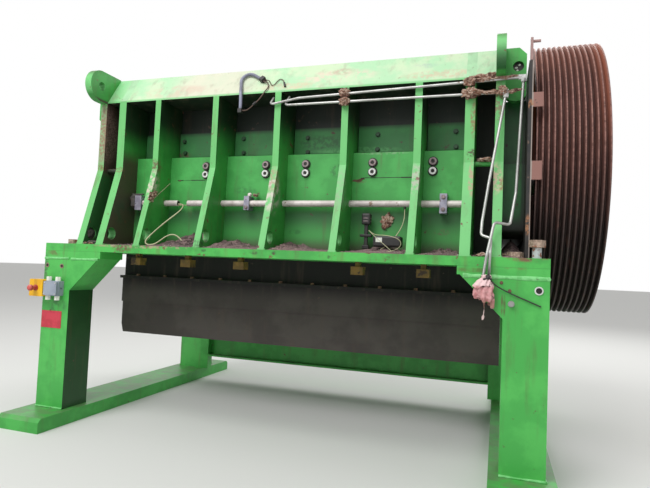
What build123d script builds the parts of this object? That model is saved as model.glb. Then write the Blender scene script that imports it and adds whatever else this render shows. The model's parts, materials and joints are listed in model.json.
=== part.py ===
"""Single-shaft granulator: cutting chamber on a four-legged stand, with a grooved flywheel.

Millimetres, +Z up from the floor, +X along the rotor towards the flywheel, +Y to the back.
The origin is on the floor below the middle of the whole machine.
"""
from build123d import *
from math import cos, radians, sin, sqrt, tan
import os

# Stand
flange_length = 2896
flange_margin = 19
flange_thickness = 45
flange_lip = 30
notch_gap = 40
leg_plate_thickness = 42
leg_plate_length = 412
leg_width = 200
leg_height = 913
haunch_size = 198
skid_height = 80
skid_width = 295
skid_overhang = 218
skid_bevel = 20
cross_beam_height = 220
cross_beam_flange = 75
cross_beam_web = 14
cross_beam_lift = 105
bracket_width = 75
bracket_depth = 60

# Housing, heights counted from the top of the base flange
axis_height = 497
kink_height = 482
housing_height = 1097
beam_rise = 185
foot_reach = 863
rib_reach = 722
roof_reach = 608
bay_pitch = 402
end_wall_x = 1067
outer_wall_x = 1212
rib_thickness = 38
end_wall_thickness = 50
outer_wall_thickness = 45
wall_thickness = 40
chamber_half_depth = 440
ledge_reach = 578
ledge_height = 579
bend_height = 435
toe_reach = 584
drain_radius = 38
drain_from_edge = 51.938
drain_height = 72
cover_thickness = 25
cover_height = 154
cover_bottom = 598
cover_gap = 8
lug_radius = 97
lug_hole_radius = 26
lug_reach = 779
lug_drop = 92
stiffener_radius = 14
stiffener_inset = 48
recess_wall_thickness = 20

# Rotor and bed knives
cutting_radius = 425
knife_gap = 6
seat_radius = 395
seat_angle = 9
heel_radius = 285
heel_angle = 38
heel_rise = 25
rotor_rows = 5
rotor_segments = 3
rotor_stagger = 12
rotor_end_gap = 20
knife_thickness = 28
knife_depth = 105
knife_end_gap = 6
bed_knife_thickness = 27
holder_height = 70
holder_lap = 20
shaft_radius = 100
journal_radius = 90
tail_radius = 80
journal_gap = 0.3
wall_bore_gap = 25

# Bearings, guard plate and flywheel
bearing_thickness = 106
bearing_half_depth = 600
bearing_below = 387
bearing_above = 346
bearing_split = 6
bearing_corner = 60
bearing_shoulder = 160
cap_inset = 60
cover_radius = 210
cover_plate = 34
cover_bevel = 10
guard_thickness = 20
guard_half_depth = 806
guard_height = 954
guard_opening = 130
tab_length = 47
tab_thickness = 8
lower_tab_drop = 121
lower_tab_height = 90
upper_tab_rise = 230
upper_tab_height = 70
latch_height = 113
latch_width = 30
latch_thickness = 12
latch_pin_radius = 7
latch_pin_length = 40
latch_pin_drop = 15
groove_count = 12
groove_pitch = 26.8
groove_depth = 26
groove_mouth = 21.5
rim_edge = 17
rim_radius = 781
rim_wall = 75
rim_gap = 20.7
web_thickness = 50
boss_radius = 300
boss_thickness = 90
hub_radius = 190
hub_length = 210

# Brackets for the hopper's pivot pins, at the top of the bearings
pivot_thickness = 40
pivot_front = 620
pivot_length = 102
pivot_bevel = 36
pivot_hole_radius = 27
pivot_hole_depth = 22
pivot_hole_x = 62
pivot_hole_drop = 97
pivot_arch_rise = 26

# Discharge housing under the flange
discharge_length = 2480
discharge_half_depth = 410
discharge_height = 535
discharge_wall = 14
neck_inset = 20
shelf_reach = 30
shelf_drop = 145
shelf_thickness = 18
step_drop = 323
step_inset = 12
lip_height = 60
lip_inset = 30

# Blocks and bolts at the flange
block_pitch = 345
block_width = 65
block_depth = 60
block_height = 43
block_drop = 25
block_reach = 747
stud_width = 28
hold_down_size = 65
hold_down_head = 28
hold_down_from_end = 150
hold_down_from_side = 72
loose_shank_radius = 21
loose_lift = 52
loose_head = 33
loose_from_end = 56
loose_from_side = 37

# Boxes on the left front leg
junction_length = 104
junction_height = 89
junction_depth = 56
junction_lid = 16
junction_lid_inset = 3
junction_from_leg = 43
junction_drop = 145
gland_radius = 16
gland_length = 26
gland_pitch = 68
stop_length = 100
stop_height = 103
stop_depth = 60
box_corner = 6
button_radius = 18
button_stem = 12
button_reach = 54
button_head = 20
button_collar = 6
button_bevel = 7

# Conduit through the front ribs, and its clamps
conduit_radius = 18.5
conduit_wall = 3
conduit_standoff = 42
conduit_height = 282
conduit_left = 948
conduit_break_left = 690
conduit_break_right = 620
fit_gap = 0.3
conduit_clamp_front = 27
bay_clamp_x = -208
bay_clamp_width = 33
bay_clamp_height = 83
end_clamp_x = 939
end_clamp_width = 38
end_clamp_height = 105
valve_width = 46
valve_height = 92

# Hydraulic lines along the front ribs, and their clamps
line_radius = 7
line_bend = 20
line_clamp_width = 42
line_clamp_height = 36
line_clamp_depth = 30
lower_line_drop = 84
upper_line_drop = 48
upper_line_rise = 34
upper_line_start = 133
line_end_drop = 95
wrap_gap = 1.2
wrap_folds = 8
wrap_flatness = 0.62
line_hook = 37

# Free cables and a corrugated conduit: diameters, and the fittings that they leave
bay_cable_diameter = 8
rib_cable_diameter = 5
beam_conduit_diameter = 22
beam_cable_diameter = 7
branch_cable_diameter = 5
cord_sides = 6
cord_arc_share = 0.45
bush_length = 10
nipple_radius = 7
nipple_length = 10
nipple_x = 733
beam_conduit_x = -226
coupling_length = 26
coupling_width = 30
coupling_height = 28
splice_size = 24
plug_radius = 6
plug_length = 36

# Derived heights and places
skid_top = skid_height
flange_depth = 2 * (foot_reach + flange_margin)
skid_length = flange_depth + 2 * skid_overhang
leg_top = skid_top + leg_height
flange_bottom = leg_top + leg_plate_thickness
flange_top = flange_bottom + flange_thickness
axis_z = flange_top + axis_height
kink_z = flange_top + kink_height
roof_z = flange_top + housing_height
rib_top = roof_z - beam_rise
ledge_z = flange_top + ledge_height
bend_z = flange_top + bend_height
half_flange = flange_length / 2
half_depth = flange_depth / 2
leg_x = half_flange - leg_width / 2
wall_reach = chamber_half_depth + wall_thickness
stiffener_reach = rib_reach - stiffener_inset
drain_reach = foot_reach - (foot_reach - rib_reach) * drain_height / kink_height - drain_from_edge
conduit_reach = ledge_reach + conduit_standoff
chamber_half = end_wall_x - end_wall_thickness / 2
recess_start = end_wall_x + end_wall_thickness / 2
recess_end = outer_wall_x - outer_wall_thickness / 2
bearing_x = outer_wall_x + outer_wall_thickness / 2
guard_x = bearing_x + bearing_thickness
rim_x = guard_x + guard_thickness + rim_gap
rim_width = (groove_count - 1) * groove_pitch + 2 * rim_edge
junction_right = -(half_flange - leg_width) - junction_from_leg
junction_left = junction_right - junction_length
stop_left = junction_left - stop_length
right_reach = rim_x + rim_width
left_reach = max(leg_x + skid_width / 2, -stop_left)
mid = -(right_reach - left_reach) / 2
bay_xs = [i * bay_pitch for i in (-2, -1, 0, 1, 2)]
notch_half = sqrt(rim_radius**2 - axis_height**2) + notch_gap

os.makedirs("parts", exist_ok=True)


def save(part, name):
    """Label a finished piece and write its STEP file."""
    part.label = name
    export_step(part, f"parts/{name}.step")


def across(x):
    """Plane facing +X at a distance from the middle of the chamber."""
    return Plane.YZ.offset(mid + x)


def facing(y):
    """Plane facing the front at a depth, with X to the right and Z up."""
    return Plane.XZ.offset(-y)


# Base flange: a frame plate, notched at both ends beside the flywheel's rim
with BuildPart() as base_flange:
    with BuildSketch(Plane.XY.offset(flange_bottom)):
        with Locations((mid, 0)):
            Rectangle(flange_length, flange_depth)
            Rectangle(2 * chamber_half, 2 * (discharge_half_depth - flange_lip), mode=Mode.SUBTRACT)
        for side in (-1, 1):
            with Locations((mid + side * half_flange, 0)):
                Rectangle(2 * (half_flange - guard_x - guard_thickness), 2 * notch_half, mode=Mode.SUBTRACT)
    extrude(amount=flange_thickness)
save(base_flange.part, "base_flange")

# Plates between the legs and the flange
with BuildPart() as leg_top_plates:
    with BuildSketch(Plane.XY.offset(leg_top)):
        for side in (-1, 1):
            for end in (-1, 1):
                plate_x = mid + side * (half_flange - leg_plate_length / 2)
                with Locations((plate_x, end * (half_depth - leg_width / 2))):
                    Rectangle(leg_plate_length, leg_width)
    extrude(amount=leg_plate_thickness)
save(leg_top_plates.part, "leg_top_plates")


def leg(side, end):
    """A square leg with its haunch, at the left or right and the front or back."""
    inner = mid + side * (half_flange - leg_width)
    outer = mid + side * half_flange
    with BuildPart() as post:
        with BuildSketch(facing(end * half_depth)):
            with BuildLine():
                Polyline(
                    (outer, skid_top),
                    (outer, leg_top),
                    (inner - side * haunch_size, leg_top),
                    (inner, leg_top - haunch_size),
                    (inner, skid_top),
                    close=True,
                )
            make_face()
        extrude(amount=end * leg_width)
    return post.part


with BuildPart() as legs:
    for side in (-1, 1):
        for end in (-1, 1):
            add(leg(side, end))
save(legs.part, "legs")

# Foot skids under the legs
for side, side_name in ((-1, "left"), (1, "right")):
    with BuildPart() as skid:
        with BuildSketch():
            with Locations((mid + side * leg_x, 0)):
                Rectangle(skid_width, skid_length)
        extrude(amount=skid_height)
        chamfer(skid.edges().filter_by(Axis.X).group_by(Axis.Z)[-1], skid_bevel)
    save(skid.part, f"{side_name}_skid")

# Rear cross beam: a channel open to the front, on a bracket at each leg
beam_z = skid_top + cross_beam_lift
beam_top = beam_z + cross_beam_height
beam_y = half_depth - leg_width
beam_half = half_flange - leg_width
with BuildPart() as rear_cross_beam:
    with BuildSketch(across(-beam_half)):
        with BuildLine():
            Polyline(
                (beam_y, beam_z),
                (beam_y + cross_beam_flange, beam_z),
                (beam_y + cross_beam_flange, beam_top),
                (beam_y, beam_top),
                (beam_y, beam_top - cross_beam_web),
                (beam_y + cross_beam_flange - cross_beam_web, beam_top - cross_beam_web),
                (beam_y + cross_beam_flange - cross_beam_web, beam_z + cross_beam_web),
                (beam_y, beam_z + cross_beam_web),
                close=True,
            )
        make_face()
    extrude(amount=2 * beam_half)
    for side in (-1, 1):
        with BuildSketch(Plane.XY.offset(skid_top)):
            with Locations((mid + side * (beam_half - bracket_width / 2), beam_y + bracket_depth / 2)):
                Rectangle(bracket_width, bracket_depth)
        extrude(amount=beam_top - skid_top)
save(rear_cross_beam.part, "rear_cross_beam")


def front_edge():
    """Front outline of the ribs and end plates, from the foot to the roof line."""
    return [(-foot_reach, flange_top), (-rib_reach, kink_z), (-rib_reach, rib_top), (-roof_reach, roof_z)]


def mirrored(points):
    """The same points on the rear side, in reverse order."""
    return [(-y, z) for y, z in reversed(points)]


def end_plate(x, thickness, bore, lugs):
    """A full-depth plate of the housing, with drain holes, shaft bore and lifting lugs."""
    lug_z = roof_z - lug_drop
    with BuildPart() as plate:
        with BuildSketch(across(x - thickness / 2)):
            with BuildLine():
                Polyline(*front_edge(), *mirrored(front_edge()), close=True)
            make_face()
            if lugs:
                for end in (-1, 1):
                    with Locations((end * lug_reach, lug_z)):
                        Circle(lug_radius)
                    with BuildLine():
                        Polyline(
                            (end * lug_reach, lug_z + lug_radius),
                            (end * roof_reach, lug_z + lug_radius),
                            (end * roof_reach, lug_z - lug_radius),
                            (end * lug_reach, lug_z - lug_radius),
                            close=True,
                        )
                    make_face()
                    with Locations((end * lug_reach, lug_z)):
                        Circle(lug_hole_radius, mode=Mode.SUBTRACT)
            with Locations((0, axis_z)):
                Circle(bore, mode=Mode.SUBTRACT)
            for end in (-1, 1):
                with Locations((end * drain_reach, flange_top + drain_height)):
                    Circle(drain_radius, mode=Mode.SUBTRACT)
        extrude(amount=thickness)
    return plate.part


wall_bore = shaft_radius + wall_bore_gap
save(end_plate(-outer_wall_x, outer_wall_thickness, wall_bore, True), "left_outer_wall")
save(end_plate(-end_wall_x, end_wall_thickness, wall_bore, False), "left_end_wall")
save(end_plate(end_wall_x, end_wall_thickness, wall_bore, False), "right_end_wall")
save(end_plate(outer_wall_x, outer_wall_thickness, wall_bore, True), "right_outer_wall")

# Stiffener bars in the recesses between the end walls and the outer walls
with BuildPart() as recess_stiffeners:
    for start in (-recess_end, recess_start):
        with BuildSketch(across(start)):
            with Locations((-stiffener_reach, kink_z), (stiffener_reach, kink_z)):
                Circle(stiffener_radius)
        extrude(amount=recess_end - recess_start)
save(recess_stiffeners.part, "recess_stiffeners")

# Walls that close the recesses, in line with the chamber's long walls
with BuildPart() as recess_walls:
    for start in (-recess_end, recess_start):
        with BuildSketch(across(start)):
            for end in (-1, 1):
                with Locations((end * (wall_reach - recess_wall_thickness / 2), (flange_top + rib_top) / 2)):
                    Rectangle(recess_wall_thickness, rib_top - flange_top)
        extrude(amount=recess_end - recess_start)
save(recess_walls.part, "recess_walls")

conduit_z = flange_top + conduit_height


def ribs(end, conduit_hole):
    """The five ribs that carry a long wall, at the front (-1) or the back (1)."""
    with BuildPart() as row:
        for x in bay_xs:
            with BuildSketch(across(x - rib_thickness / 2)):
                with BuildLine():
                    Polyline(
                        (end * foot_reach, flange_top),
                        (end * rib_reach, kink_z),
                        (end * rib_reach, rib_top),
                        (end * wall_reach, rib_top),
                        (end * wall_reach, ledge_z),
                        (end * ledge_reach, ledge_z),
                        (end * ledge_reach, bend_z),
                        (end * toe_reach, flange_top),
                        close=True,
                    )
                make_face()
                with Locations((end * drain_reach, flange_top + drain_height)):
                    Circle(drain_radius, mode=Mode.SUBTRACT)
                if conduit_hole:
                    with Locations((end * conduit_reach, conduit_z)):
                        Circle(conduit_radius + fit_gap, mode=Mode.SUBTRACT)
            extrude(amount=rib_thickness)
    return row.part


save(ribs(-1, True), "front_ribs")
save(ribs(1, False), "rear_ribs")

# Lower walls: toe, bend and ledge, folded from thick plate
with BuildPart() as front_lower_wall:
    with BuildSketch(across(-chamber_half)):
        with BuildLine():
            Polyline(
                (-toe_reach, flange_top),
                (-ledge_reach, bend_z),
                (-ledge_reach, ledge_z),
                (-wall_reach, ledge_z),
                (-wall_reach, ledge_z - wall_thickness),
                (-ledge_reach + wall_thickness, ledge_z - wall_thickness),
                (-ledge_reach + wall_thickness, bend_z),
                (-toe_reach + wall_thickness, flange_top),
                close=True,
            )
        make_face()
    extrude(amount=2 * chamber_half)
save(front_lower_wall.part, "front_lower_wall")

with BuildPart() as rear_lower_wall:
    mirror(front_lower_wall.part, about=Plane.XZ)
save(rear_lower_wall.part, "rear_lower_wall")

# Upper walls, from the bed knives to the roof line
upper_bottom = axis_z + bed_knife_thickness
with BuildPart() as upper_walls:
    with BuildSketch(Plane.XY.offset(upper_bottom)):
        for end in (-1, 1):
            with Locations((mid, end * (chamber_half_depth + wall_thickness / 2))):
                Rectangle(2 * chamber_half, wall_thickness)
    extrude(amount=roof_z - upper_bottom)
save(upper_walls.part, "upper_walls")

# Sloped top beams beside the feed opening, each closed over the recesses by a short piece
beam_spans = ((-recess_end, -recess_start), (-chamber_half, chamber_half), (recess_start, recess_end))
with BuildPart() as front_top_beam:
    for start, stop in beam_spans:
        with BuildSketch(across(start)):
            with BuildLine():
                Polyline(
                    (-rib_reach, rib_top),
                    (-roof_reach, roof_z),
                    (-wall_reach, roof_z),
                    (-wall_reach, rib_top),
                    close=True,
                )
            make_face()
        extrude(amount=stop - start)
save(front_top_beam.part, "front_top_beam")

with BuildPart() as rear_top_beam:
    mirror(front_top_beam.part, about=Plane.XZ)
save(rear_top_beam.part, "rear_top_beam")

# Small cover plates on the upper walls, one in each bay
bay_edges = [-chamber_half - rib_thickness / 2] + bay_xs + [chamber_half + rib_thickness / 2]
with BuildPart() as cover_plates:
    for left_rib, right_rib in zip(bay_edges, bay_edges[1:]):
        length = right_rib - left_rib - rib_thickness - 2 * cover_gap
        with BuildSketch(Plane.XY.offset(flange_top + cover_bottom)):
            for end in (-1, 1):
                with Locations((mid + (left_rib + right_rib) / 2, end * (wall_reach + cover_thickness / 2))):
                    Rectangle(length, cover_thickness)
        extrude(amount=cover_height)
save(cover_plates.part, "cover_plates")

# Bed knives on their holders, at the height of the rotor's axis
holder_back = ledge_reach - wall_thickness
holder_front = wall_reach - holder_lap
with BuildPart() as bed_knife_holders:
    for end in (-1, 1):
        with BuildSketch(Plane.XY.offset(axis_z - holder_height)):
            with Locations((mid, end * (holder_back + holder_front) / 2)):
                Rectangle(2 * chamber_half, holder_back - holder_front)
        extrude(amount=holder_height)
save(bed_knife_holders.part, "bed_knife_holders")

bed_knife_tip = cutting_radius + knife_gap
with BuildPart() as bed_knives:
    for end in (-1, 1):
        with BuildSketch(Plane.XY.offset(axis_z)):
            with Locations((mid, end * (bed_knife_tip + holder_back) / 2)):
                Rectangle(2 * chamber_half, holder_back - bed_knife_tip)
        extrude(amount=bed_knife_thickness)
save(bed_knives.part, "bed_knives")

# Rotor: three staggered star sections on one shaft, with a knife on each seat
rotor_length = 2 * (chamber_half - rotor_end_gap)
segment_length = rotor_length / rotor_segments
row_angle = 360 / rotor_rows


def polar(radius, angle):
    """Point of a section across the rotor, about the origin of its plane."""
    return (radius * cos(radians(angle)), radius * sin(radians(angle)))


def section_plane(segment):
    """Plane of one rotor section's left face, turned by its stagger."""
    start = -rotor_length / 2 + segment * segment_length
    turn = radians(segment * rotor_stagger)
    return Plane((mid + start, 0, axis_z), x_dir=(0, cos(turn), sin(turn)), z_dir=(1, 0, 0))


with BuildPart() as rotor_body:
    for segment in range(rotor_segments):
        with BuildSketch(section_plane(segment)):
            with BuildLine():
                points = []
                for row in range(rotor_rows):
                    start = row * row_angle
                    points += [
                        polar(heel_radius, start),
                        polar(seat_radius, start),
                        polar(seat_radius, start + seat_angle),
                        polar(heel_radius + heel_rise, start + heel_angle),
                    ]
                Polyline(*points, close=True)
            make_face()
            Circle(shaft_radius, mode=Mode.SUBTRACT)
        extrude(amount=segment_length)
save(rotor_body.part, "rotor_body")

with BuildPart() as rotor_knives:
    for segment in range(rotor_segments):
        with BuildSketch(section_plane(segment)):
            for row in range(rotor_rows):
                with Locations(Location((0, 0, 0), row * row_angle)):
                    with Locations((cutting_radius - knife_depth / 2, -knife_thickness / 2)):
                        Rectangle(knife_depth, knife_thickness)
        extrude(amount=segment_length - knife_end_gap)
save(rotor_knives.part, "rotor_knives")

# Stepped shaft through both bearings to the flywheel's hub
hub_x = rim_x + rim_width / 2
with BuildPart() as rotor_shaft:
    for start, stop, radius in (
        (-recess_start, recess_start, shaft_radius),
        (-guard_x, guard_x, journal_radius),
        (guard_x, hub_x + hub_length / 2, tail_radius),
    ):
        with BuildSketch(across(start)):
            with Locations((0, axis_z)):
                Circle(radius)
        extrude(amount=stop - start)
save(rotor_shaft.part, "rotor_shaft")


def bearing(side):
    """Split bearing frame outside one end plate: a base and a cap around the journal."""
    face = bearing_x if side > 0 else -guard_x
    with BuildPart() as frame:
        with BuildSketch(across(face)):
            with Locations((0, axis_z - bearing_below / 2 - bearing_split / 2)):
                RectangleRounded(2 * bearing_half_depth, bearing_below, bearing_corner)
            with Locations((0, axis_z - bearing_shoulder / 2)):
                Rectangle(2 * bearing_half_depth, bearing_shoulder - bearing_split)
            with Locations((0, axis_z + bearing_above / 2)):
                Rectangle(2 * (bearing_half_depth - cap_inset), bearing_above - bearing_split)
            with Locations((0, axis_z)):
                Rectangle(2 * bearing_half_depth, bearing_split, mode=Mode.SUBTRACT)
                Circle(journal_radius + journal_gap, mode=Mode.SUBTRACT)
        extrude(amount=bearing_thickness)
    return frame.part


save(bearing(-1), "left_bearing")
save(bearing(1), "right_bearing")

# Round cover over the free end of the shaft
with BuildPart() as bearing_cover:
    with BuildSketch(across(-guard_x - cover_plate)):
        with Locations((0, axis_z)):
            Circle(cover_radius)
    extrude(amount=cover_plate)
    chamfer(bearing_cover.edges().filter_by(GeomType.CIRCLE).group_by(Axis.X)[0], cover_bevel)
save(bearing_cover.part, "bearing_cover")


def pivot_bracket(side, end):
    """Bracket above a bearing, welded to the outer wall, for one pivot pin of the hopper."""
    wall = mid + side * bearing_x
    tip = wall + side * pivot_length
    top = roof_z
    bottom = axis_z + bearing_above
    with BuildPart() as bracket:
        with BuildSketch(facing(end * pivot_front)):
            with BuildLine():
                Polyline(
                    (wall, bottom),
                    (wall, top),
                    (tip - side * pivot_bevel, top),
                    (tip, top - pivot_bevel),
                    (tip, bottom),
                )
                ThreePointArc((tip, bottom), ((wall + tip) / 2, bottom - pivot_arch_rise), (wall, bottom))
            make_face()
        extrude(amount=end * pivot_thickness)
        with BuildSketch(facing(end * pivot_front)):
            with Locations((wall + side * pivot_hole_x, top - pivot_hole_drop)):
                Circle(pivot_hole_radius)
        extrude(amount=end * pivot_hole_depth, mode=Mode.SUBTRACT)
    return bracket.part


with BuildPart() as pivot_brackets:
    for side in (-1, 1):
        for end in (-1, 1):
            add(pivot_bracket(side, end))
save(pivot_brackets.part, "pivot_brackets")

# Back plate of the belt guard, with the tabs and the latch that held the guard
with BuildPart() as guard_back_plate:
    with BuildSketch(across(guard_x)):
        with Locations((0, flange_top + guard_height / 2)):
            Rectangle(2 * guard_half_depth, guard_height)
        with Locations((0, axis_z)):
            Circle(guard_opening, mode=Mode.SUBTRACT)
    extrude(amount=guard_thickness)
    tab_x = mid + guard_x + guard_thickness + tab_length / 2
    for tab_z, tab_height in (
        (axis_z - lower_tab_drop, lower_tab_height),
        (axis_z + upper_tab_rise, upper_tab_height),
    ):
        with BuildSketch(Plane.XY.offset(tab_z)):
            for end in (-1, 1):
                with Locations((tab_x, end * (guard_half_depth - tab_thickness / 2))):
                    Rectangle(tab_length, tab_thickness)
        extrude(amount=tab_height)
    # Latch bar on the plate's front corner, with its pin
    latch_y = -guard_half_depth + latch_width / 2
    latch_top = flange_top + guard_height + latch_height
    with BuildSketch(Plane.XY.offset(flange_top + guard_height)):
        with Locations((mid + guard_x + guard_thickness / 2, latch_y)):
            Rectangle(latch_thickness, latch_width)
    extrude(amount=latch_height)
    with BuildSketch(across(guard_x + guard_thickness / 2)):
        with Locations((latch_y, latch_top - latch_pin_drop)):
            Circle(latch_pin_radius)
    extrude(amount=latch_pin_length)
save(guard_back_plate.part, "guard_back_plate")

# Flywheel: a grooved rim on a cast web, with a boss and a long hub
rim_inner = rim_radius - rim_wall
rim_axis = Axis((0, 0, axis_z), (1, 0, 0))
with BuildPart() as flywheel_rim:
    with BuildSketch(Plane.XZ):
        with BuildLine():
            profile = [(mid + rim_x, axis_z + rim_inner), (mid + rim_x, axis_z + rim_radius)]
            for groove in range(groove_count):
                centre = mid + rim_x + rim_edge + groove * groove_pitch
                profile += [
                    (centre - groove_mouth / 2, axis_z + rim_radius),
                    (centre, axis_z + rim_radius - groove_depth),
                    (centre + groove_mouth / 2, axis_z + rim_radius),
                ]
            profile += [(mid + right_reach, axis_z + rim_radius), (mid + right_reach, axis_z + rim_inner)]
            Polyline(*profile, close=True)
        make_face()
    revolve(axis=rim_axis)
save(flywheel_rim.part, "flywheel_rim")

with BuildPart() as flywheel_web:
    for radius, thickness in (
        (rim_inner, web_thickness),
        (boss_radius, boss_thickness),
        (hub_radius, hub_length),
    ):
        with BuildSketch(across(hub_x - thickness / 2)):
            with Locations((0, axis_z)):
                Circle(radius)
        extrude(amount=thickness)
    with BuildSketch(across(hub_x - hub_length / 2)):
        with Locations((0, axis_z)):
            Circle(tail_radius)
    extrude(amount=hub_length, mode=Mode.SUBTRACT)
save(flywheel_web.part, "flywheel_web")

# Discharge housing: folded front and rear walls with a bolting shelf, and flat ends
discharge_bottom = flange_bottom - discharge_height
outer_face = -discharge_half_depth
neck_face = outer_face + neck_inset
step_face = outer_face + step_inset
lip_face = outer_face + lip_inset
with BuildPart() as discharge_front_wall:
    with BuildSketch(across(-discharge_length / 2)):
        with BuildLine():
            Polyline(
                (neck_face, flange_bottom),
                (neck_face, flange_bottom - shelf_drop),
                (outer_face - shelf_reach, flange_bottom - shelf_drop),
                (outer_face - shelf_reach, flange_bottom - shelf_drop - shelf_thickness),
                (outer_face, flange_bottom - shelf_drop - shelf_thickness),
                (outer_face, flange_bottom - step_drop),
                (step_face, flange_bottom - step_drop),
                (step_face, discharge_bottom + lip_height),
                (lip_face, discharge_bottom),
                (lip_face + discharge_wall, discharge_bottom),
                (neck_face + discharge_wall, discharge_bottom + lip_height),
                (neck_face + discharge_wall, flange_bottom),
                close=True,
            )
        make_face()
    extrude(amount=discharge_length)
with BuildPart() as discharge_walls:
    add(discharge_front_wall.part)
    mirror(discharge_front_wall.part, about=Plane.XZ)
save(discharge_walls.part, "discharge_walls")

with BuildPart() as discharge_end_walls:
    with BuildSketch(Plane.XY.offset(discharge_bottom + lip_height)):
        for side in (-1, 1):
            with Locations((mid + side * (discharge_length - discharge_wall) / 2, 0)):
                Rectangle(discharge_wall, -2 * (neck_face + discharge_wall))
    extrude(amount=discharge_height - lip_height)
save(discharge_end_walls.part, "discharge_end_walls")

# Clamp blocks on square studs under the flange, one missing at the front
with BuildPart() as clamp_blocks:
    for end in (-1, 1):
        for place in (-5, -3, -1, 1, 3, 5):
            if end == -1 and place == 1:
                continue
            for bottom, height, width, depth in (
                (flange_bottom - block_drop - block_height, block_height, block_width, block_depth),
                (flange_bottom - block_drop, block_drop, stud_width, stud_width),
            ):
                with BuildSketch(Plane.XY.offset(bottom)):
                    with Locations((mid + place * block_pitch / 2, end * block_reach)):
                        Rectangle(width, depth)
                extrude(amount=height)
save(clamp_blocks.part, "clamp_blocks")

# Hold-down bolts: seated heads at the four legs, and one backed out at the front right
with BuildPart() as hold_down_bolts:
    with BuildSketch(Plane.XY.offset(flange_top)):
        for side in (-1, 1):
            for end in (-1, 1):
                bolt_x = mid + side * (half_flange - hold_down_from_end)
                with Locations((bolt_x, end * (half_depth - hold_down_from_side))):
                    RegularPolygon(hold_down_size / 2, 6, major_radius=False)
    extrude(amount=hold_down_head)
    loose_bolt = (mid + half_flange - loose_from_end, -half_depth + loose_from_side)
    with BuildSketch(Plane.XY.offset(flange_top)):
        with Locations(loose_bolt):
            Circle(loose_shank_radius)
    extrude(amount=loose_lift)
    with BuildSketch(Plane.XY.offset(flange_top + loose_lift)):
        with Locations(loose_bolt):
            RegularPolygon(hold_down_size / 2, 6, major_radius=False)
    extrude(amount=loose_head)
save(hold_down_bolts.part, "hold_down_bolts")

# Junction box and emergency stop on the left front leg
box_z = leg_top - junction_drop - junction_height / 2
junction_x = mid + junction_left + junction_length / 2
with BuildPart() as junction_box:
    with BuildSketch(facing(-half_depth)):
        with Locations((junction_x, box_z)):
            RectangleRounded(junction_length, junction_height, box_corner)
    extrude(amount=junction_depth - junction_lid)
    with BuildSketch(facing(-half_depth - junction_depth + junction_lid)):
        with Locations((junction_x, box_z)):
            RectangleRounded(
                junction_length - 2 * junction_lid_inset, junction_height - 2 * junction_lid_inset, box_corner
            )
    extrude(amount=junction_lid)
    with BuildSketch(Plane.XY.offset(box_z - junction_height / 2 - gland_length)):
        for side in (-1, 1):
            with Locations((junction_x + side * gland_pitch / 2, -half_depth - junction_depth / 2)):
                RegularPolygon(gland_radius, 6)
    extrude(amount=junction_height + 2 * gland_length)
save(junction_box.part, "junction_box")

stop_x = mid + stop_left + stop_length / 2
with BuildPart() as stop_box:
    with BuildSketch(facing(-half_depth)):
        with Locations((stop_x, box_z)):
            RectangleRounded(stop_length, stop_height, box_corner)
    extrude(amount=stop_depth)
save(stop_box.part, "stop_box")

# Mushroom head button on the emergency stop's front
with BuildPart() as stop_button:
    for start, length, radius in (
        (0, button_collar, button_radius),
        (button_collar, button_reach - button_collar - button_head, button_stem),
        (button_reach - button_head, button_head, button_radius),
    ):
        with BuildSketch(facing(-half_depth - stop_depth - start)):
            with Locations((stop_x, box_z)):
                Circle(radius)
        extrude(amount=length)
    chamfer(stop_button.edges().group_by(Axis.Y)[0], button_bevel)
save(stop_button.part, "stop_button")

# Steel conduit through the front ribs, broken off in the second bay
with BuildPart() as conduit_tube:
    for start, stop in ((-conduit_left, -conduit_break_left), (-conduit_break_right, chamber_half)):
        with BuildSketch(across(start)):
            with Locations((-conduit_reach, conduit_z)):
                Circle(conduit_radius)
                Circle(conduit_radius - conduit_wall, mode=Mode.SUBTRACT)
        extrude(amount=stop - start)
save(conduit_tube.part, "conduit_tube")


def toe_at(z):
    """Depth of the lower front wall's face at a height below its bend."""
    return -ledge_reach - (toe_reach - ledge_reach) * (bend_z - z) / (bend_z - flange_top)


# Clamps of the conduit on the lower wall, and the valve block at its left end
with BuildPart() as conduit_clamps:
    for x, width, height, bored in (
        (-conduit_left - valve_width / 2, valve_width, valve_height, False),
        (bay_clamp_x, bay_clamp_width, bay_clamp_height, True),
        (end_clamp_x, end_clamp_width, end_clamp_height, True),
    ):
        low = conduit_z - height / 2
        high = conduit_z + height / 2
        front = -conduit_reach - conduit_clamp_front
        with BuildSketch(across(x - width / 2)):
            with BuildLine():
                Polyline((front, low), (front, high), (toe_at(high), high), (toe_at(low), low), close=True)
            make_face()
            if bored:
                with Locations((-conduit_reach, conduit_z)):
                    Circle(conduit_radius + fit_gap, mode=Mode.SUBTRACT)
        extrude(amount=width)
save(conduit_clamps.part, "conduit_clamps")

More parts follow.
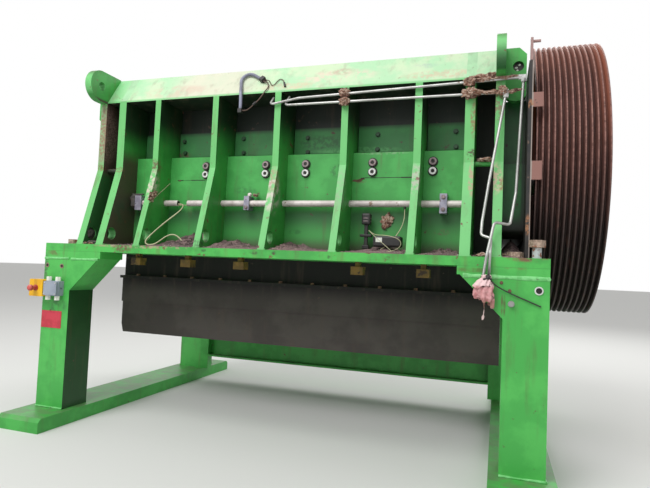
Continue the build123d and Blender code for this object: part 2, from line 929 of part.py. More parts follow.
# Hydraulic lines: bent tubes clamped to the ribs, with both ends hanging before the right leg
line_y = -rib_reach - line_clamp_depth / 2
lower_line_z = rib_top - lower_line_drop
upper_line_z = rib_top - upper_line_drop
line_end_z = flange_top - line_end_drop
hook_y = line_y + line_hook
upper_line = [
    (-36, hook_y, upper_line_z + 22),
    (-45, line_y, upper_line_z - 28),
    (upper_line_start, line_y, upper_line_z),
    (guard_x - 22, line_y, upper_line_z + upper_line_rise),
    (guard_x - 45, line_y - 20, flange_top + 320),
    (guard_x - 70, line_y - 98, flange_top + 156),
    (outer_wall_x - 12, -half_depth + 8, flange_top + 164),
    (outer_wall_x - 42, -half_depth - 26, flange_top + 4),
    (outer_wall_x - 55, -half_depth - 28, line_end_z),
]
lower_line = [
    (62, hook_y, lower_line_z + 58),
    (46, line_y, lower_line_z),
    (bearing_x + 4, line_y, lower_line_z),
    (outer_wall_x - 43, line_y - 50, kink_z - 116),
    (outer_wall_x - 68, line_y - 98, flange_top + 170),
    (outer_wall_x - 71, -half_depth + 30, flange_top + 104),
    (outer_wall_x - 24, -half_depth + 12, flange_top + 88),
    (outer_wall_x - 27, -half_depth - 18, flange_top + 18),
    (outer_wall_x - 29, -half_depth - 18, line_end_z),
]


def bent_tube(points):
    """A round tube along straight runs, bent at each corner; X counts from the chamber's middle."""
    with BuildPart() as tube:
        with BuildLine() as route:
            FilletPolyline(*[(mid + x, y, z) for x, y, z in points], radius=line_bend)
        with BuildSketch(Plane(route.line @ 0, z_dir=route.line % 0)):
            Circle(line_radius)
        sweep(path=route.line)
    return tube.part


with BuildPart() as hydraulic_tubes:
    add(bent_tube(upper_line))
    add(bent_tube(lower_line))
save(hydraulic_tubes.part, "hydraulic_tubes")

# Tube clamps of the hydraulic lines, on a rib and on the right end wall
line_slope = upper_line_rise / (guard_x - 22 - upper_line_start)
with BuildPart() as hydraulic_clamps:
    for x in (bay_pitch, end_wall_x):
        for z, slope in (
            (upper_line_z + line_slope * (x - upper_line_start), line_slope),
            (lower_line_z, 0),
        ):
            with BuildSketch(across(x - line_clamp_width / 2)):
                with Locations((line_y, z)):
                    Rectangle(line_clamp_depth, line_clamp_height)
            extrude(amount=line_clamp_width)
            with BuildSketch(Plane((mid + x, line_y, z), z_dir=(1, 0, slope))):
                Circle(line_radius + fit_gap)
            extrude(amount=line_clamp_width, both=True, mode=Mode.SUBTRACT)
save(hydraulic_clamps.part, "hydraulic_clamps")

# Cloth wrapped round the open ends of both lines
with BuildPart() as tube_wrap:
    for x, y, drop, half_width in (
        (-42, -27, wrap_gap, 24),
        (-44, -30, 25, 28),
        (-49, -33, 62, 48),
        (-47, -31, 125, 43),
        (-50, -22, 190, 10),
    ):
        with BuildSketch(Plane.XY.offset(line_end_z - drop)):
            with BuildLine():
                Polyline(
                    *[
                        (
                            mid + outer_wall_x + x + half_width * cos(radians(360 * fold / wrap_folds)),
                            -half_depth + y + wrap_flatness * half_width * sin(radians(360 * fold / wrap_folds)),
                        )
                        for fold in range(wrap_folds)
                    ],
                    close=True,
                )
            make_face()
    loft(ruled=True)
save(tube_wrap.part, "tube_wrap")

# Fittings of the cables: a bush in the broken conduit's mouth and a nipple under its right half
with BuildPart() as conduit_fittings:
    with BuildSketch(across(-conduit_break_left - bush_length)):
        with Locations((-conduit_reach, conduit_z)):
            Circle(conduit_radius - conduit_wall)
    extrude(amount=bush_length)
    with BuildSketch(Plane.XY.offset(conduit_z - conduit_radius - nipple_length)):
        with Locations((mid + nipple_x, -conduit_reach)):
            Circle(nipple_radius)
    extrude(amount=nipple_length + conduit_radius / 2)
    with BuildSketch(across(nipple_x - 2 * nipple_radius)):
        with Locations((-conduit_reach, conduit_z)):
            Circle(conduit_radius)
    extrude(amount=4 * nipple_radius, mode=Mode.SUBTRACT)
save(conduit_fittings.part, "conduit_fittings")


def free_cable(points, diameter, name):
    """A hanging cable of plain six-sided section; X counts from the chamber's middle."""
    route_points = [Vector(mid + x, y, z) for x, y, z in points]
    runs = [after - before for before, after in zip(route_points, route_points[1:])]
    bends = [
        cord_arc_share * min(a.length, b.length) / tan(radians(a.get_angle(b) / 2))
        for a, b in zip(runs, runs[1:])
    ]
    with BuildPart() as cable:
        with BuildLine() as route:
            FilletPolyline(*route_points, radius=bends)
        with BuildSketch(Plane(route.line @ 0, z_dir=route.line % 0)):
            RegularPolygon(diameter / 2, cord_sides)
        sweep(path=route.line)
    section = 1.5 * sqrt(3) * (diameter / 2) ** 2
    length = sum(edge.length for edge in route.edges())
    print(
        f"{name}: length {length:.0f} mm, least bend {min(bends) / diameter:.1f} diameters, "
        f"volume against section x length {cable.part.volume / section / length:.3f}"
    )
    save(cable.part, name)


def on_slope(x, up, off):
    """A point off the front beam's sloping plate, counted up the slope from its lower edge."""
    rise = roof_z - rib_top
    run = rib_reach - roof_reach
    slant = sqrt(rise**2 + run**2)
    return (
        x,
        -rib_reach + (run * up - rise * off) / slant,
        rib_top + (rise * up + run * off) / slant,
    )


# Cable hanging out of the broken conduit, over the floor of the second bay
free_cable(
    [
        (-conduit_break_left, -conduit_reach, conduit_z - 5),
        (-668, -conduit_reach, conduit_z - 5),
        (-645, -632, flange_top + 268),
        (-639, -656, flange_top + 242),
        (-654, -690, flange_top + 208),
        (-688, -728, flange_top + 164),
        (-724, -762, flange_top + 116),
        (-752, -796, flange_top + 70),
        (-766, -822, flange_top + 38),
        (-756, -838, flange_top + 15),
        (-728, -838, flange_top + 7),
        (-704, -820, flange_top + 14),
        (-688, -796, flange_top + 34),
        (-670, -772, flange_top + 60),
        (-640, -756, flange_top + 78),
        (-606, -750, flange_top + 74),
        (-576, -746, flange_top + 50),
        (-556, -744, flange_top + 26),
    ],
    bay_cable_diameter,
    "bay_cable",
)

# Thin cable hanging from the nipple in the fourth bay
nipple_z = conduit_z - conduit_radius - nipple_length
free_cable(
    [
        (nipple_x, -conduit_reach, nipple_z),
        (nipple_x, -conduit_reach, nipple_z - 20),
        (nipple_x + 5, -conduit_reach - 34, nipple_z - 54),
        (nipple_x + 2, -conduit_reach - 62, nipple_z - 92),
        (nipple_x - 14, -conduit_reach - 82, nipple_z - 134),
        (nipple_x - 42, -conduit_reach - 96, nipple_z - 176),
        (nipple_x - 80, -conduit_reach - 103, nipple_z - 212),
        (nipple_x - 120, -conduit_reach - 104, nipple_z - 240),
    ],
    rib_cable_diameter,
    "rib_cable",
)

# Corrugated conduit looped over the front beam's slope, with its fittings
axis_off = coupling_height / 2
splice_front = -rib_reach - 23
splice_top = rib_top - 92
loop = [
    on_slope(-250, 60, axis_off),
    on_slope(-266, 108, axis_off),
    on_slope(-258, 146, axis_off),
    on_slope(-228, 166, axis_off),
    on_slope(-192, 154, axis_off),
    on_slope(-162, 130, axis_off),
    on_slope(-134, 112, axis_off),
]
coupling_start = Vector(*loop[-1])
coupling_way = (coupling_start - Vector(*loop[-2])).normalized()
slope_out = (Vector(*on_slope(0, 0, 1)) - Vector(*on_slope(0, 0, 0))).normalized()
coupling_side = slope_out.cross(coupling_way)
coupling_end = coupling_start + coupling_way * coupling_length
free_cable(
    [
        (beam_conduit_x, splice_front, splice_top),
        (beam_conduit_x, splice_front, splice_top + 48),
        (beam_conduit_x - 6, splice_front + 6, splice_top + 100),
    ]
    + loop,
    beam_conduit_diameter,
    "beam_conduit",
)
with BuildPart() as conduit_couplings:
    foot = coupling_start + coupling_way * (coupling_length / 2) - slope_out * axis_off + Vector(mid, 0, 0)
    with BuildSketch(Plane(foot, x_dir=coupling_way, z_dir=slope_out)):
        Rectangle(coupling_length, coupling_width)
    extrude(amount=coupling_height)
    with BuildSketch(Plane.XY.offset(splice_top - splice_size)):
        with Locations((mid + beam_conduit_x, splice_front)):
            Rectangle(splice_size, splice_size)
    extrude(amount=splice_size)
save(conduit_couplings.part, "conduit_couplings")

# Cable from the coupling over the beam's lower edge and back to the splice below it
beam_cable_start = coupling_end - coupling_side * (coupling_width / 4)
free_cable(
    [
        tuple(beam_cable_start),
        tuple(beam_cable_start + coupling_way * 16),
        on_slope(-84, 76, 11),
        on_slope(-73, 54, 8),
        on_slope(-73, 30, 8),
        on_slope(-82, 8, 9),
        (-94, -rib_reach - 17, rib_top - 20),
        (-112, -rib_reach - 22, rib_top - 46),
        (-134, -rib_reach - 25, rib_top - 68),
        (-158, -rib_reach - 25, rib_top - 88),
        (-180, -rib_reach - 24, rib_top - 102),
        (-196, splice_front, splice_top - splice_size / 2),
        (beam_conduit_x + splice_size / 2, splice_front, splice_top - splice_size / 2),
    ],
    beam_cable_diameter,
    "beam_cable",
)

# Branch cable from the coupling along the slope, with its plug
branch_start = coupling_end + coupling_side * (coupling_width / 4)
plug_start = Vector(*on_slope(20, 70, plug_radius + 1))
plug_way = (Vector(*on_slope(34, 35, plug_radius + 1)) - plug_start).normalized()
free_cable(
    [
        tuple(branch_start),
        tuple(branch_start + coupling_way * 14),
        on_slope(-80, 98, 9),
        on_slope(-68, 76, 6),
        on_slope(-58, 57, 6),
        on_slope(-40, 57, 6),
        on_slope(-32, 82, 6),
        on_slope(-20, 106, 6),
        on_slope(-4, 106, 6),
        tuple(plug_start - plug_way * 20),
        tuple(plug_start),
    ],
    branch_cable_diameter,
    "branch_cable",
)
with BuildPart() as branch_plug:
    with BuildSketch(Plane(plug_start + Vector(mid, 0, 0), z_dir=plug_way)):
        Circle(plug_radius)
    extrude(amount=plug_length)
save(branch_plug.part, "branch_plug")
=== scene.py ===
"""Looks of a single-shaft granulator: enamel, rust, fasteners, cables, dirt and a rag on the CAD part."""
import json
import math
import random

import bpy
from mathutils import Euler, Matrix, Vector, noise

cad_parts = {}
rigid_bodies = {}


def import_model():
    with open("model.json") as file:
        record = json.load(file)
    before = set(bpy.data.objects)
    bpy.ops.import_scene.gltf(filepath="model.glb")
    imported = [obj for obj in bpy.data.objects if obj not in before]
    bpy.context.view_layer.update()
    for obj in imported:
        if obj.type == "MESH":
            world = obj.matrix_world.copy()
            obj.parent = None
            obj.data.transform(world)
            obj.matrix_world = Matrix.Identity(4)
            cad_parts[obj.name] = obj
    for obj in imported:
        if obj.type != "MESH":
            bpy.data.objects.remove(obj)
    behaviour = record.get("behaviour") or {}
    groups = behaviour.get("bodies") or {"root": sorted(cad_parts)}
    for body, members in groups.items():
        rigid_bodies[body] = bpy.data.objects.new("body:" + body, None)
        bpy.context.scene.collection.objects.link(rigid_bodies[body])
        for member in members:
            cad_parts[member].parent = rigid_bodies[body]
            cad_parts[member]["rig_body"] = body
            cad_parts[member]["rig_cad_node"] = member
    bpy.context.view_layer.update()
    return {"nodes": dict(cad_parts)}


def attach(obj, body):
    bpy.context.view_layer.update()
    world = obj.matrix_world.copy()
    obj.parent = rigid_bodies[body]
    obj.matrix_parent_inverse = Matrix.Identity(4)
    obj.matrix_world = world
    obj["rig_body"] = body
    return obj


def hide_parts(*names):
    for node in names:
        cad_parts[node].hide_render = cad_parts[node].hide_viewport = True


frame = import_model()
nodes = frame["nodes"]
mm = 0.001
middle = -107.25
dice = random.Random(11)


def place(x, y, z):
    """A point in metres from millimetres, with X counted from the middle of the cutting chamber."""
    return Vector(((x + middle) * mm, y * mm, z * mm))


# Heights and reaches of the machine's faces in millimetres
flange_top = 1080
axis_z = 1577
flange_reach = 882
leg_reach = 682
ledge_reach = 578
screw_seat = 581
cover_reach = 505
leg_inner, leg_outer = 1248, 1448
up, front, back, right_way, left_way = (
    Euler((0, 0, 0)),
    Euler((math.pi / 2, 0, 0)),
    Euler((-math.pi / 2, 0, 0)),
    Euler((0, math.pi / 2, 0)),
    Euler((0, -math.pi / 2, 0)),
)
flanks = (("front", -1, front), ("rear", 1, back))

# Camera at the photograph's viewpoint
camera_data = bpy.data.cameras.new("photo_camera")
camera = bpy.data.objects.new("photo_camera", camera_data)
bpy.context.scene.collection.objects.link(camera)
bpy.context.scene.camera = camera
camera_data.sensor_width = 36
camera_data.lens = 29.44
yaw, pitch, roll = math.radians(18.056), math.radians(2.6515), math.radians(-2.4366)
forward = Vector((-math.sin(yaw) * math.cos(pitch), math.cos(yaw) * math.cos(pitch), math.sin(pitch)))
level = Vector((math.cos(yaw), math.sin(yaw), 0))
down = forward.cross(level)
image_right = level * math.cos(roll) + down * math.sin(roll)
image_down = down * math.cos(roll) - level * math.sin(roll)
turn = Matrix((image_right, -image_down, -forward)).transposed()
camera.matrix_world = Matrix.Translation(place(1220, -3485, 992.5)) @ turn.to_4x4()


def hex_colour(code):
    """Linear colour from an sRGB hex code."""
    values = [int(code[i : i + 2], 16) / 255 for i in (0, 2, 4)]
    return tuple(v / 12.92 if v <= 0.04045 else ((v + 0.055) / 1.055) ** 2.4 for v in values) + (1,)


def add_node(owner, kind, settings):
    """Adds one shader node. Its inputs take a value, a hex colour or the socket they are linked to."""
    tree = owner.node_tree
    node = tree.nodes.new(kind)
    for key, value in settings.items():
        if not isinstance(key, int) and key not in node.inputs:
            setattr(node, key, value)
        elif isinstance(value, bpy.types.NodeSocket):
            tree.links.new(value, node.inputs[key])
        else:
            node.inputs[key].default_value = hex_colour(value) if isinstance(value, str) else value
    return node


def new_material(name, roughness, metallic=0.0, ior=1.5):
    """A material with one Principled shader, and its Object coordinates; a metal keeps the default IOR."""
    material = bpy.data.materials.new(name)
    material.use_nodes = True
    shader = material.node_tree.nodes["Principled BSDF"]
    shader.inputs["Roughness"].default_value = roughness
    shader.inputs["Metallic"].default_value = metallic
    if not metallic:
        shader.inputs["IOR"].default_value = ior
    return material, shader, add_node(material, "ShaderNodeTexCoord", {}).outputs["Object"]


def speckle(material, where, size, detail=4, low=0.4, high=0.6, stretch=(1, 1, 1)):
    """A mask from 0 to 1 of noise patches about size millimetres wide."""
    mapped = add_node(material, "ShaderNodeMapping", {"Scale": stretch, "Vector": where}).outputs[0]
    cloud = add_node(material, "ShaderNodeTexNoise", {
        "Scale": 1000 / size, "Detail": detail, "Roughness": 0.6, "Vector": mapped,
    }).outputs[0]
    return add_node(material, "ShaderNodeMapRange", {
        "interpolation_type": "SMOOTHSTEP", "Value": cloud, "From Min": low, "From Max": high,
    }).outputs[0]


def facing(material, axis, low, high, both=False):
    """A mask of the faces that look along an axis; both counts either way."""
    normal = add_node(material, "ShaderNodeNewGeometry", {}).outputs["Normal"]
    along = add_node(material, "ShaderNodeSeparateXYZ", {0: normal}).outputs[axis]
    if both:
        along = add_node(material, "ShaderNodeMath", {"operation": "ABSOLUTE", 0: along}).outputs[0]
    return add_node(material, "ShaderNodeMapRange", {
        "Value": along, "From Min": low, "From Max": high,
    }).outputs[0]


def between(material, where, axis, start, stop):
    """A mask that rises from 0 at start to 1 at stop, in millimetres along an axis; X counts as in place."""
    shift = middle if axis == 0 else 0
    value = add_node(material, "ShaderNodeSeparateXYZ", {0: where}).outputs[axis]
    return add_node(material, "ShaderNodeMapRange", {
        "interpolation_type": "SMOOTHSTEP", "Value": value,
        "From Min": (start + shift) * mm, "From Max": (stop + shift) * mm,
    }).outputs[0]


def round_spot(material, where, centre, reach):
    """A soft mask round a place, with its reach each way in millimetres."""
    scale = Vector([1000 / r for r in reach])
    shift = -Vector(place(*centre)) * scale
    mapped = add_node(material, "ShaderNodeMapping", {"Location": shift, "Scale": scale, "Vector": where})
    away = add_node(material, "ShaderNodeVectorMath", {"operation": "LENGTH", 0: mapped.outputs[0]})
    return add_node(material, "ShaderNodeMapRange", {
        "interpolation_type": "SMOOTHSTEP", "Value": away.outputs["Value"], "From Min": 1.0, "From Max": 0.45,
    }).outputs[0]


def coat(material, under, over, *masks):
    """Lays one colour over another where all masks, each a socket or a share from 0 to 1, overlap."""
    share = masks[0]
    for mask in masks[1:]:
        share = add_node(material, "ShaderNodeMath", {"operation": "MULTIPLY", 0: share, 1: mask}).outputs[0]
    return add_node(material, "ShaderNodeMix", {"data_type": "RGBA", 0: share, 6: under, 7: over}).outputs[2]


def weathered(
    name, paint, shade, rust, rust_start, dust, dust_share, roughness, metallic=0.0, patch=160, ior=1.5,
    films=(), spots=(), fine=0.4,
):
    """A worn finish: two tones in patches, runs of dirt, rust where the film is broken, and dust on top.

    Each film is (colour, share, steps), a layer limited by steps: (axis, start, stop) in millimetres, or
    ("facing", axis, low, high, both). Each spot is (colour, share, centre, reach, size of its flakes)."""
    material, shader, where = new_material(name, roughness, metallic, ior)
    tone = coat(material, paint, shade, speckle(material, where, patch))
    for colour, share, steps in films:
        masks = [
            facing(material, *step[1:]) if step[0] == "facing" else between(material, where, *step)
            for step in steps
        ]
        tone = coat(material, tone, colour, share, *masks)
    runs = speckle(material, where, 45, 5, 0.52, 0.75, (1, 1, 0.12))
    tone = coat(material, tone, rust, runs, 0.35)
    tone = coat(material, tone, rust, speckle(material, where, 38, 3, rust_start + 0.03, rust_start + 0.1))
    settled = speckle(material, where, 90, 5, 0.3, 0.62)
    tone = coat(material, tone, dust, facing(material, 2, 0.35, 0.95), settled, dust_share)
    for colour, share, centre, reach, size in spots:
        flakes = speckle(material, where, size, 3, 0.38, 0.6)
        tone = coat(material, tone, colour, flakes, round_spot(material, where, centre, reach), share)
    cloud = add_node(material, "ShaderNodeTexNoise", {"Scale": 1000 / 6, "Detail": 3, "Vector": where})
    grain = add_node(material, "ShaderNodeBump", {
        "Strength": 0.6, "Distance": fine * mm, "Height": cloud.outputs[0],
    })
    material.node_tree.links.new(tone, shader.inputs["Base Color"])
    material.node_tree.links.new(grain.outputs[0], shader.inputs["Normal"])
    return material


def on_front(reach, *marks):
    """Spots on a face that looks to the front: (colour, share, X, Z, half width, half height, flakes)."""
    return [
        (colour, share, (x, -reach, z), (wide, 60, high), size)
        for colour, share, x, z, wide, high, size in marks
    ]


# Steps that keep a film to the faces that look to the front or to the right
looks_front = ("facing", 1, -0.7, -0.9)
looks_right = ("facing", 0, 0.6, 0.9)


# Machine enamel: brushed alkyd film over steel, semi-gloss, chipped to rust and dusty on top
green_enamel = weathered("green_alkyd_enamel", "46AE4B", "3A9C40", "5A4334", 0.66, "6E6A5C", 0.55, 0.42)
# The same enamel on the legs, with dark joints and rust runs at the haunches, and painted shade under the
# flange and on the left legs' inner faces
leg_enamel = weathered(
    "green_leg_enamel", "4FB653", "43A84A", "5A4334", 0.66, "6E6A5C", 0.4, 0.42,
    films=[
        ("15301A", 0.8, [(2, 1031, 1035), ("facing", 2, 0.5, -0.5)]),
        # Painted shade: the left legs' faces that look right are painted near black for the shadow under the
        # machine
        ("0E1A12", 0.85, [(0, -1200, -1240), looks_right]),
    ],
    spots=on_front(
        flange_reach, ("5E4836", 0.75, 1244, 862, 7, 62, 90), ("54402E", 0.75, 1255, 858, 7, 62, 90),
        # Painted shade: the first spot here, brown-green just under the flange, is partly weathering and
        # partly the flange's shadow
        ("5A5A2A", 0.6, 1110, 1016, 100, 16, 60), ("7A4E3A", 0.4, 1300, 1030, 60, 10, 40),
        ("6B4A38", 0.6, -1370, 1020, 80, 26, 30), ("3E5A3C", 0.7, -1440, 900, 26, 160, 40),
        ("2E6A36", 0.7, -1330, 700, 90, 60, 60),
    ),
)
# The same enamel on the base and the ribs, rusty where things lay on it; on the ribs, painted light on the
# front faces and painted shade high on the flanks
rib_enamel = weathered(
    "lit_and_shaded_green_enamel", "3C9C42", "328C39", "6B4636", 0.61, "5E564A", 0.85, 0.5,
    films=[
        # Painted light: the faces that look to the front are painted lighter
        ("74C678", 0.7, [looks_front]),
        # Painted shade: the flanks darken towards the top, partly grime
        ("0C1710", 0.92, [(2, 1660, 1880), ("facing", 0, 0.6, 0.9, True)]),
    ],
    spots=[
        ("6A4A3C", 0.85, (-804, -740, 1575), (60, 90, 60), 18),
        ("CDBDB2", 0.8, (-804, -780, 1470), (60, 110, 130), 24),
        ("C9BDB4", 0.85, (0, -770, 1410), (60, 120, 160), 40),
        ("A57A68", 0.6, (0, -740, 1480), (60, 60, 110), 16),
        ("86A07C", 0.6, (402, -780, 1440), (60, 110, 160), 30),
        ("A9A79A", 0.8, (804, -760, 1480), (60, 100, 110), 24),
        ("4A3A30", 0.8, (402, -740, 1960), (60, 60, 70), 20),
        ("2E2A26", 0.6, (-402, -850, 1100), (60, 60, 40), 16),
    ],
)
base_enamel = weathered(
    "scraped_green_enamel", "4CB550", "3F9E46", "6B4636", 0.6, "6A5652", 0.95, 0.5,
    spots=on_front(
        flange_reach, ("B58E86", 0.75, -760, 1074, 420, 13, 34), ("6A4238", 0.85, -880, 1062, 90, 30, 18),
        ("33402C", 0.8, -338, 1066, 20, 12, 30), ("3A4430", 0.8, -30, 1062, 30, 14, 30),
        ("33402C", 0.8, 92, 1062, 24, 13, 30), ("4A5238", 0.7, 214, 1066, 26, 11, 30),
        ("33402C", 0.7, 392, 1052, 16, 12, 30), ("4A4030", 0.75, 700, 1058, 26, 12, 30),
        ("7A4A40", 0.85, 1345, 1080, 105, 24, 44),
    ) + [("3A2E28", 0.95, (-923, -800, 1082), (130, 90, 10), 60)],
)
# Paint on the upper walls and cover plates, dark and darker towards the beams, partly oil mist and dust and
# partly painted shade
shaded_enamel = weathered(
    "oily_and_shaded_green_enamel", "2F7A3D", "2A6E38", "4A382C", 0.63, "2E3A2C", 0.7, 0.55,
    # Painted shade: nearly black above Z 1800, under the beams
    films=[("0B120D", 0.97, [(2, 1800, 1846)])],
    spots=on_front(
        cover_reach, ("1E4026", 0.6, 201, 1740, 190, 60, 22), ("5A4034", 0.8, -740, 1690, 60, 30, 24),
        ("63B06A", 0.5, 420, 1690, 330, 26, 22),
    ),
)
# Paint on the lower walls, duller than the ribs, with scratches and old grease above the conduit
wall_enamel = weathered(
    "dull_green_enamel", "46A850", "3B9845", "5A4334", 0.65, "6A6A58", 0.5, 0.48,
    films=[
        # Painted shadow: darker just below the conduit from Z 1345 down, fading back to green by Z 1180
        ("1F4A28", 0.75, [(2, 1345, 1300)]), ("46A04E", 0.8, [(2, 1290, 1180)]),
        ("4A3A32", 0.8, [(2, 1180, 1100)]),
    ],
    spots=on_front(
        ledge_reach + 2, ("2A6432", 0.5, -250, 1445, 90, 40, 30), ("8A6A58", 0.6, -90, 1170, 60, 30, 24),
        ("2A5A30", 0.6, 320, 1560, 50, 50, 26), ("6C5446", 0.7, 930, 1215, 50, 22, 26),
        ("8FB08A", 0.55, 600, 1655, 190, 12, 18), ("6E5A44", 0.7, 470, 1497, 40, 16, 14),
        ("2C6A34", 0.6, 80, 1200, 60, 20, 30),
    ),
)
# End plates: rust on the edges, painted light on the front faces and sloping tops, and painted shade with
# some grime in the recesses
end_enamel = weathered(
    "grimy_lit_and_shaded_green_enamel", "3FA045", "358F3B", "6B4636", 0.62, "5E564A", 0.8, 0.5,
    films=[
        # Painted light: the faces that look to the front are painted lighter
        ("7CCB80", 0.6, [looks_front]),
        # Painted shade: the faces that look left darken towards the top, partly grime
        ("0D150F", 0.9, [(2, 1960, 2140), ("facing", 0, -0.6, -0.9)]),
        # Painted sky light: the sloping top is painted pale like the sloping beams
        ("A6D2A6", 0.95, [(0, 1150, 1110), (2, 1996, 2010), ("facing", 1, -0.2, -0.5)]),
        ("1A4A26", 0.8, [(0, 1170, 1186), (2, 2130, 2020), (2, 1990, 2000)]),
    ],
    spots=[
        ("C9A596", 0.8, (1204, -740, 1470), (34, 90, 110), 22),
        ("8A5A42", 0.85, (1228, -740, 1440), (16, 60, 60), 18),
        ("7E6252", 0.85, (1205, -722, 1860), (44, 50, 130), 14),
        ("8A5A42", 0.8, (1086, -730, 1790), (22, 60, 130), 16),
        ("B58A7A", 0.8, (1086, -760, 1480), (24, 90, 140), 20),
        ("4A382C", 0.9, (1085, -722, 1610), (40, 60, 26), 12),
    ],
)
# Inner faces of the left recess and the first bay, brown with packed dust, with painted light on the front
# faces and sloping tops and painted shade high on the faces that look right
brown_end_enamel = weathered(
    "dusty_lit_and_shaded_green_enamel", "3FA045", "358F3B", "6B4636", 0.62, "5E564A", 0.8, 0.6,
    films=[
        # Painted light: the faces that look to the front are painted lighter
        ("7CCB80", 0.6, [looks_front]),
        ("9A9682", 0.6, [(0, -1170, -1190), (2, 1560, 1640), (2, 2000, 1960), looks_front]),
        # Painted sky light: the sloping tops are painted pale like the sloping beams
        ("A6D2A6", 0.95, [(0, -1150, -1110), (2, 1996, 2010), ("facing", 1, -0.2, -0.5)]),
        ("4A3D33", 0.95, [(2, 1720, 1600), looks_right]),
        # Painted shade: the faces that look right are nearly black towards the top
        ("0F1610", 0.9, [(2, 1700, 1850), (2, 2010, 1990), looks_right]),
        ("46342E", 0.95, [(0, -1133, -1173), (2, 1500, 1570), (2, 2010, 1990), looks_right]),
        ("24602E", 0.9, [(0, -1133, -1173), (2, 1570, 1500), looks_right]),
    ],
    spots=[
        ("8A7068", 0.75, (-1190, -700, 1790), (14, 130, 230), 10),
        ("8E6A58", 0.85, (-1212, -722, 1800), (40, 30, 240), 16),
        ("7A4E3C", 0.8, (-1212, -722, 1575), (40, 40, 30), 12),
        ("7A4E3C", 0.7, (-1067, -722, 1560), (40, 40, 24), 12),
        ("2E4A30", 0.6, (-1042, -640, 1300), (14, 200, 120), 70),
    ],
)
# Recess walls, hardly lit and painted near black as shade, and their stiffener bars, of which the left ones
# are as dark
recess_enamel = weathered("black_painted_shade_enamel", "10140F", "171A15", "2A211C", 0.62, "2A2622", 0.5, 0.7)
bar_enamel = weathered(
    "green_bar_enamel", "3E9A45", "2F7D38", "4A382C", 0.6, "6B5A4C", 0.9, 0.5,
    films=[("211C18", 0.95, [(0, 0, -10)])],
)
# Bearing housings: darker enamel, black below and beside the guard, partly grease and dirt and partly painted
# shade
bearing_enamel = weathered(
    "greased_and_shaded_green_enamel", "256B35", "1D5A2C", "3E3128", 0.62, "3C4A38", 0.5, 0.4,
    films=[
        # Partly painted shade: darker all over, black below Z 1240 and on the strip beside the guard
        ("0F120E", 0.95, [(2, 1330, 1240)]),
        ("0E110F", 0.8, [(0, 1318, 1332), ("facing", 1, -0.3, -0.7)]),
    ],
    spots=[
        ("2A211C", 0.9, (1290, -470, 1570), (90, 120, 60), 60),
        ("3A5A38", 0.6, (1300, -470, 1750), (50, 120, 120), 60),
    ],
)
# The same enamel on the sloping beams, painted a milky green for the sky light on their slopes, with pink and
# rusty blooms
sky_lit_enamel = weathered(
    "sky_lit_green_enamel", "A3D0A4", "BDD3AE", "8A7464", 0.66, "B9C4AC", 0.45, 0.5,
    films=[
        ("D2C6B8", 0.65, [(0, -850, -560), (0, -80, -300)]), ("74C27E", 0.85, [(0, -960, -1150)]),
        # The lower edge keeps the plain green; painted shade: the underside is near black
        ("5FB368", 0.85, [(2, 2012, 1998)]), ("0C110D", 0.96, [("facing", 2, -0.6, -0.9)]),
    ],
    spots=[
        ("D8BFB0", 0.7, (330, -650, 2080), (300, 120, 60), 46),
        ("C9A596", 0.5, (-700, -680, 2050), (300, 120, 60), 70),
        ("A8957F", 0.6, (350, -640, 2110), (90, 80, 34), 40),
        ("8A9AA0", 0.4, (820, -640, 2105), (90, 80, 24), 40),
        ("D8A894", 0.5, (60, -700, 2030), (240, 80, 34), 60),
        ("C8A890", 0.6, (900, -700, 2040), (260, 80, 40), 26),
    ],
)
# Yellow enamel on blocks and wheel web; the blocks under the flange are darker brown, partly wear and partly
# painted shade
yellow_enamel = weathered("yellow_alkyd_enamel", "E0A51C", "C48A1B", "6A4428", 0.6, "7A6B52", 0.5, 0.45)
shaded_yellow = weathered(
    "worn_and_shaded_yellow_enamel", "7E6128", "655024", "3A2C20", 0.52, "5A4C3A", 0.6, 0.7, patch=50,
)
# Powder coated sheet of the grey box, and moulded plastic of the yellow one
grey_powder_coat = weathered(
    "grey_powder_coat", "9AA3B0", "8A93A0", "6B5A4B", 0.7, "A9A9B4", 0.3, 0.5,
    films=[("E4E8DC", 1.0, [(2, 848.5, 849.5)]), ("E4E8DC", 1.0, [(2, 758.5, 757.5)])],
)
yellow_plastic = weathered(
    "yellow_abs_housing", "F0BC22", "E0A81C", "6F5636", 0.72, "D8B060", 0.2, 0.45, ior=1.46,
)
# Mill scale plate under dust and oil, nearly black with brown runs
dusty_plate = weathered("dusty_mill_scale", "4E4A47", "3A3735", "5D4A3E", 0.56, "76706A", 0.4, 0.72)
# Discharge housing's plate: grey-brown with fine dust, painted black as shade under the flange
discharge_plate = weathered(
    "dusty_and_shaded_discharge_plate", "4B4642", "403B38", "54463C", 0.66, "605850", 0.5, 0.8, patch=220,
    films=[("0B0B0A", 0.95, [(2, 760, 900)])],
)
# Guard's back plate: black and oily, pale where its edge was rubbed, tabs and latch red with rust
guard_plate = weathered(
    "oily_guard_plate", "1B1B1C", "262423", "5D4A3E", 0.6, "4A4440", 0.4, 0.6, patch=60,
    films=[
        ("A79A92", 0.85, [(0, 1355, 1357), looks_front]),
        ("8A5F56", 0.95, [(0, 1361, 1364)]), ("A58480", 0.9, [(2, 2034, 2040)]),
    ],
    spots=[
        ("9A6A48", 0.9, (1350, -806, 1820), (20, 30, 30), 14),
        ("9A6A48", 0.9, (1350, -806, 1240), (20, 30, 60), 14),
    ],
)
# Cast and turned iron with an even coat of rust
rusty_iron = weathered("rusted_cast_iron", "7A5648", "62443A", "94705E", 0.56, "8A6E5E", 0.3, 0.85, patch=40)
# Rust scale mixed with pale dried dirt, as it packs on fittings
crust = weathered("rust_and_dried_dirt", "B39C8C", "865E4C", "5A3C30", 0.52, "C2B0A2", 0.6, 0.95, patch=12)
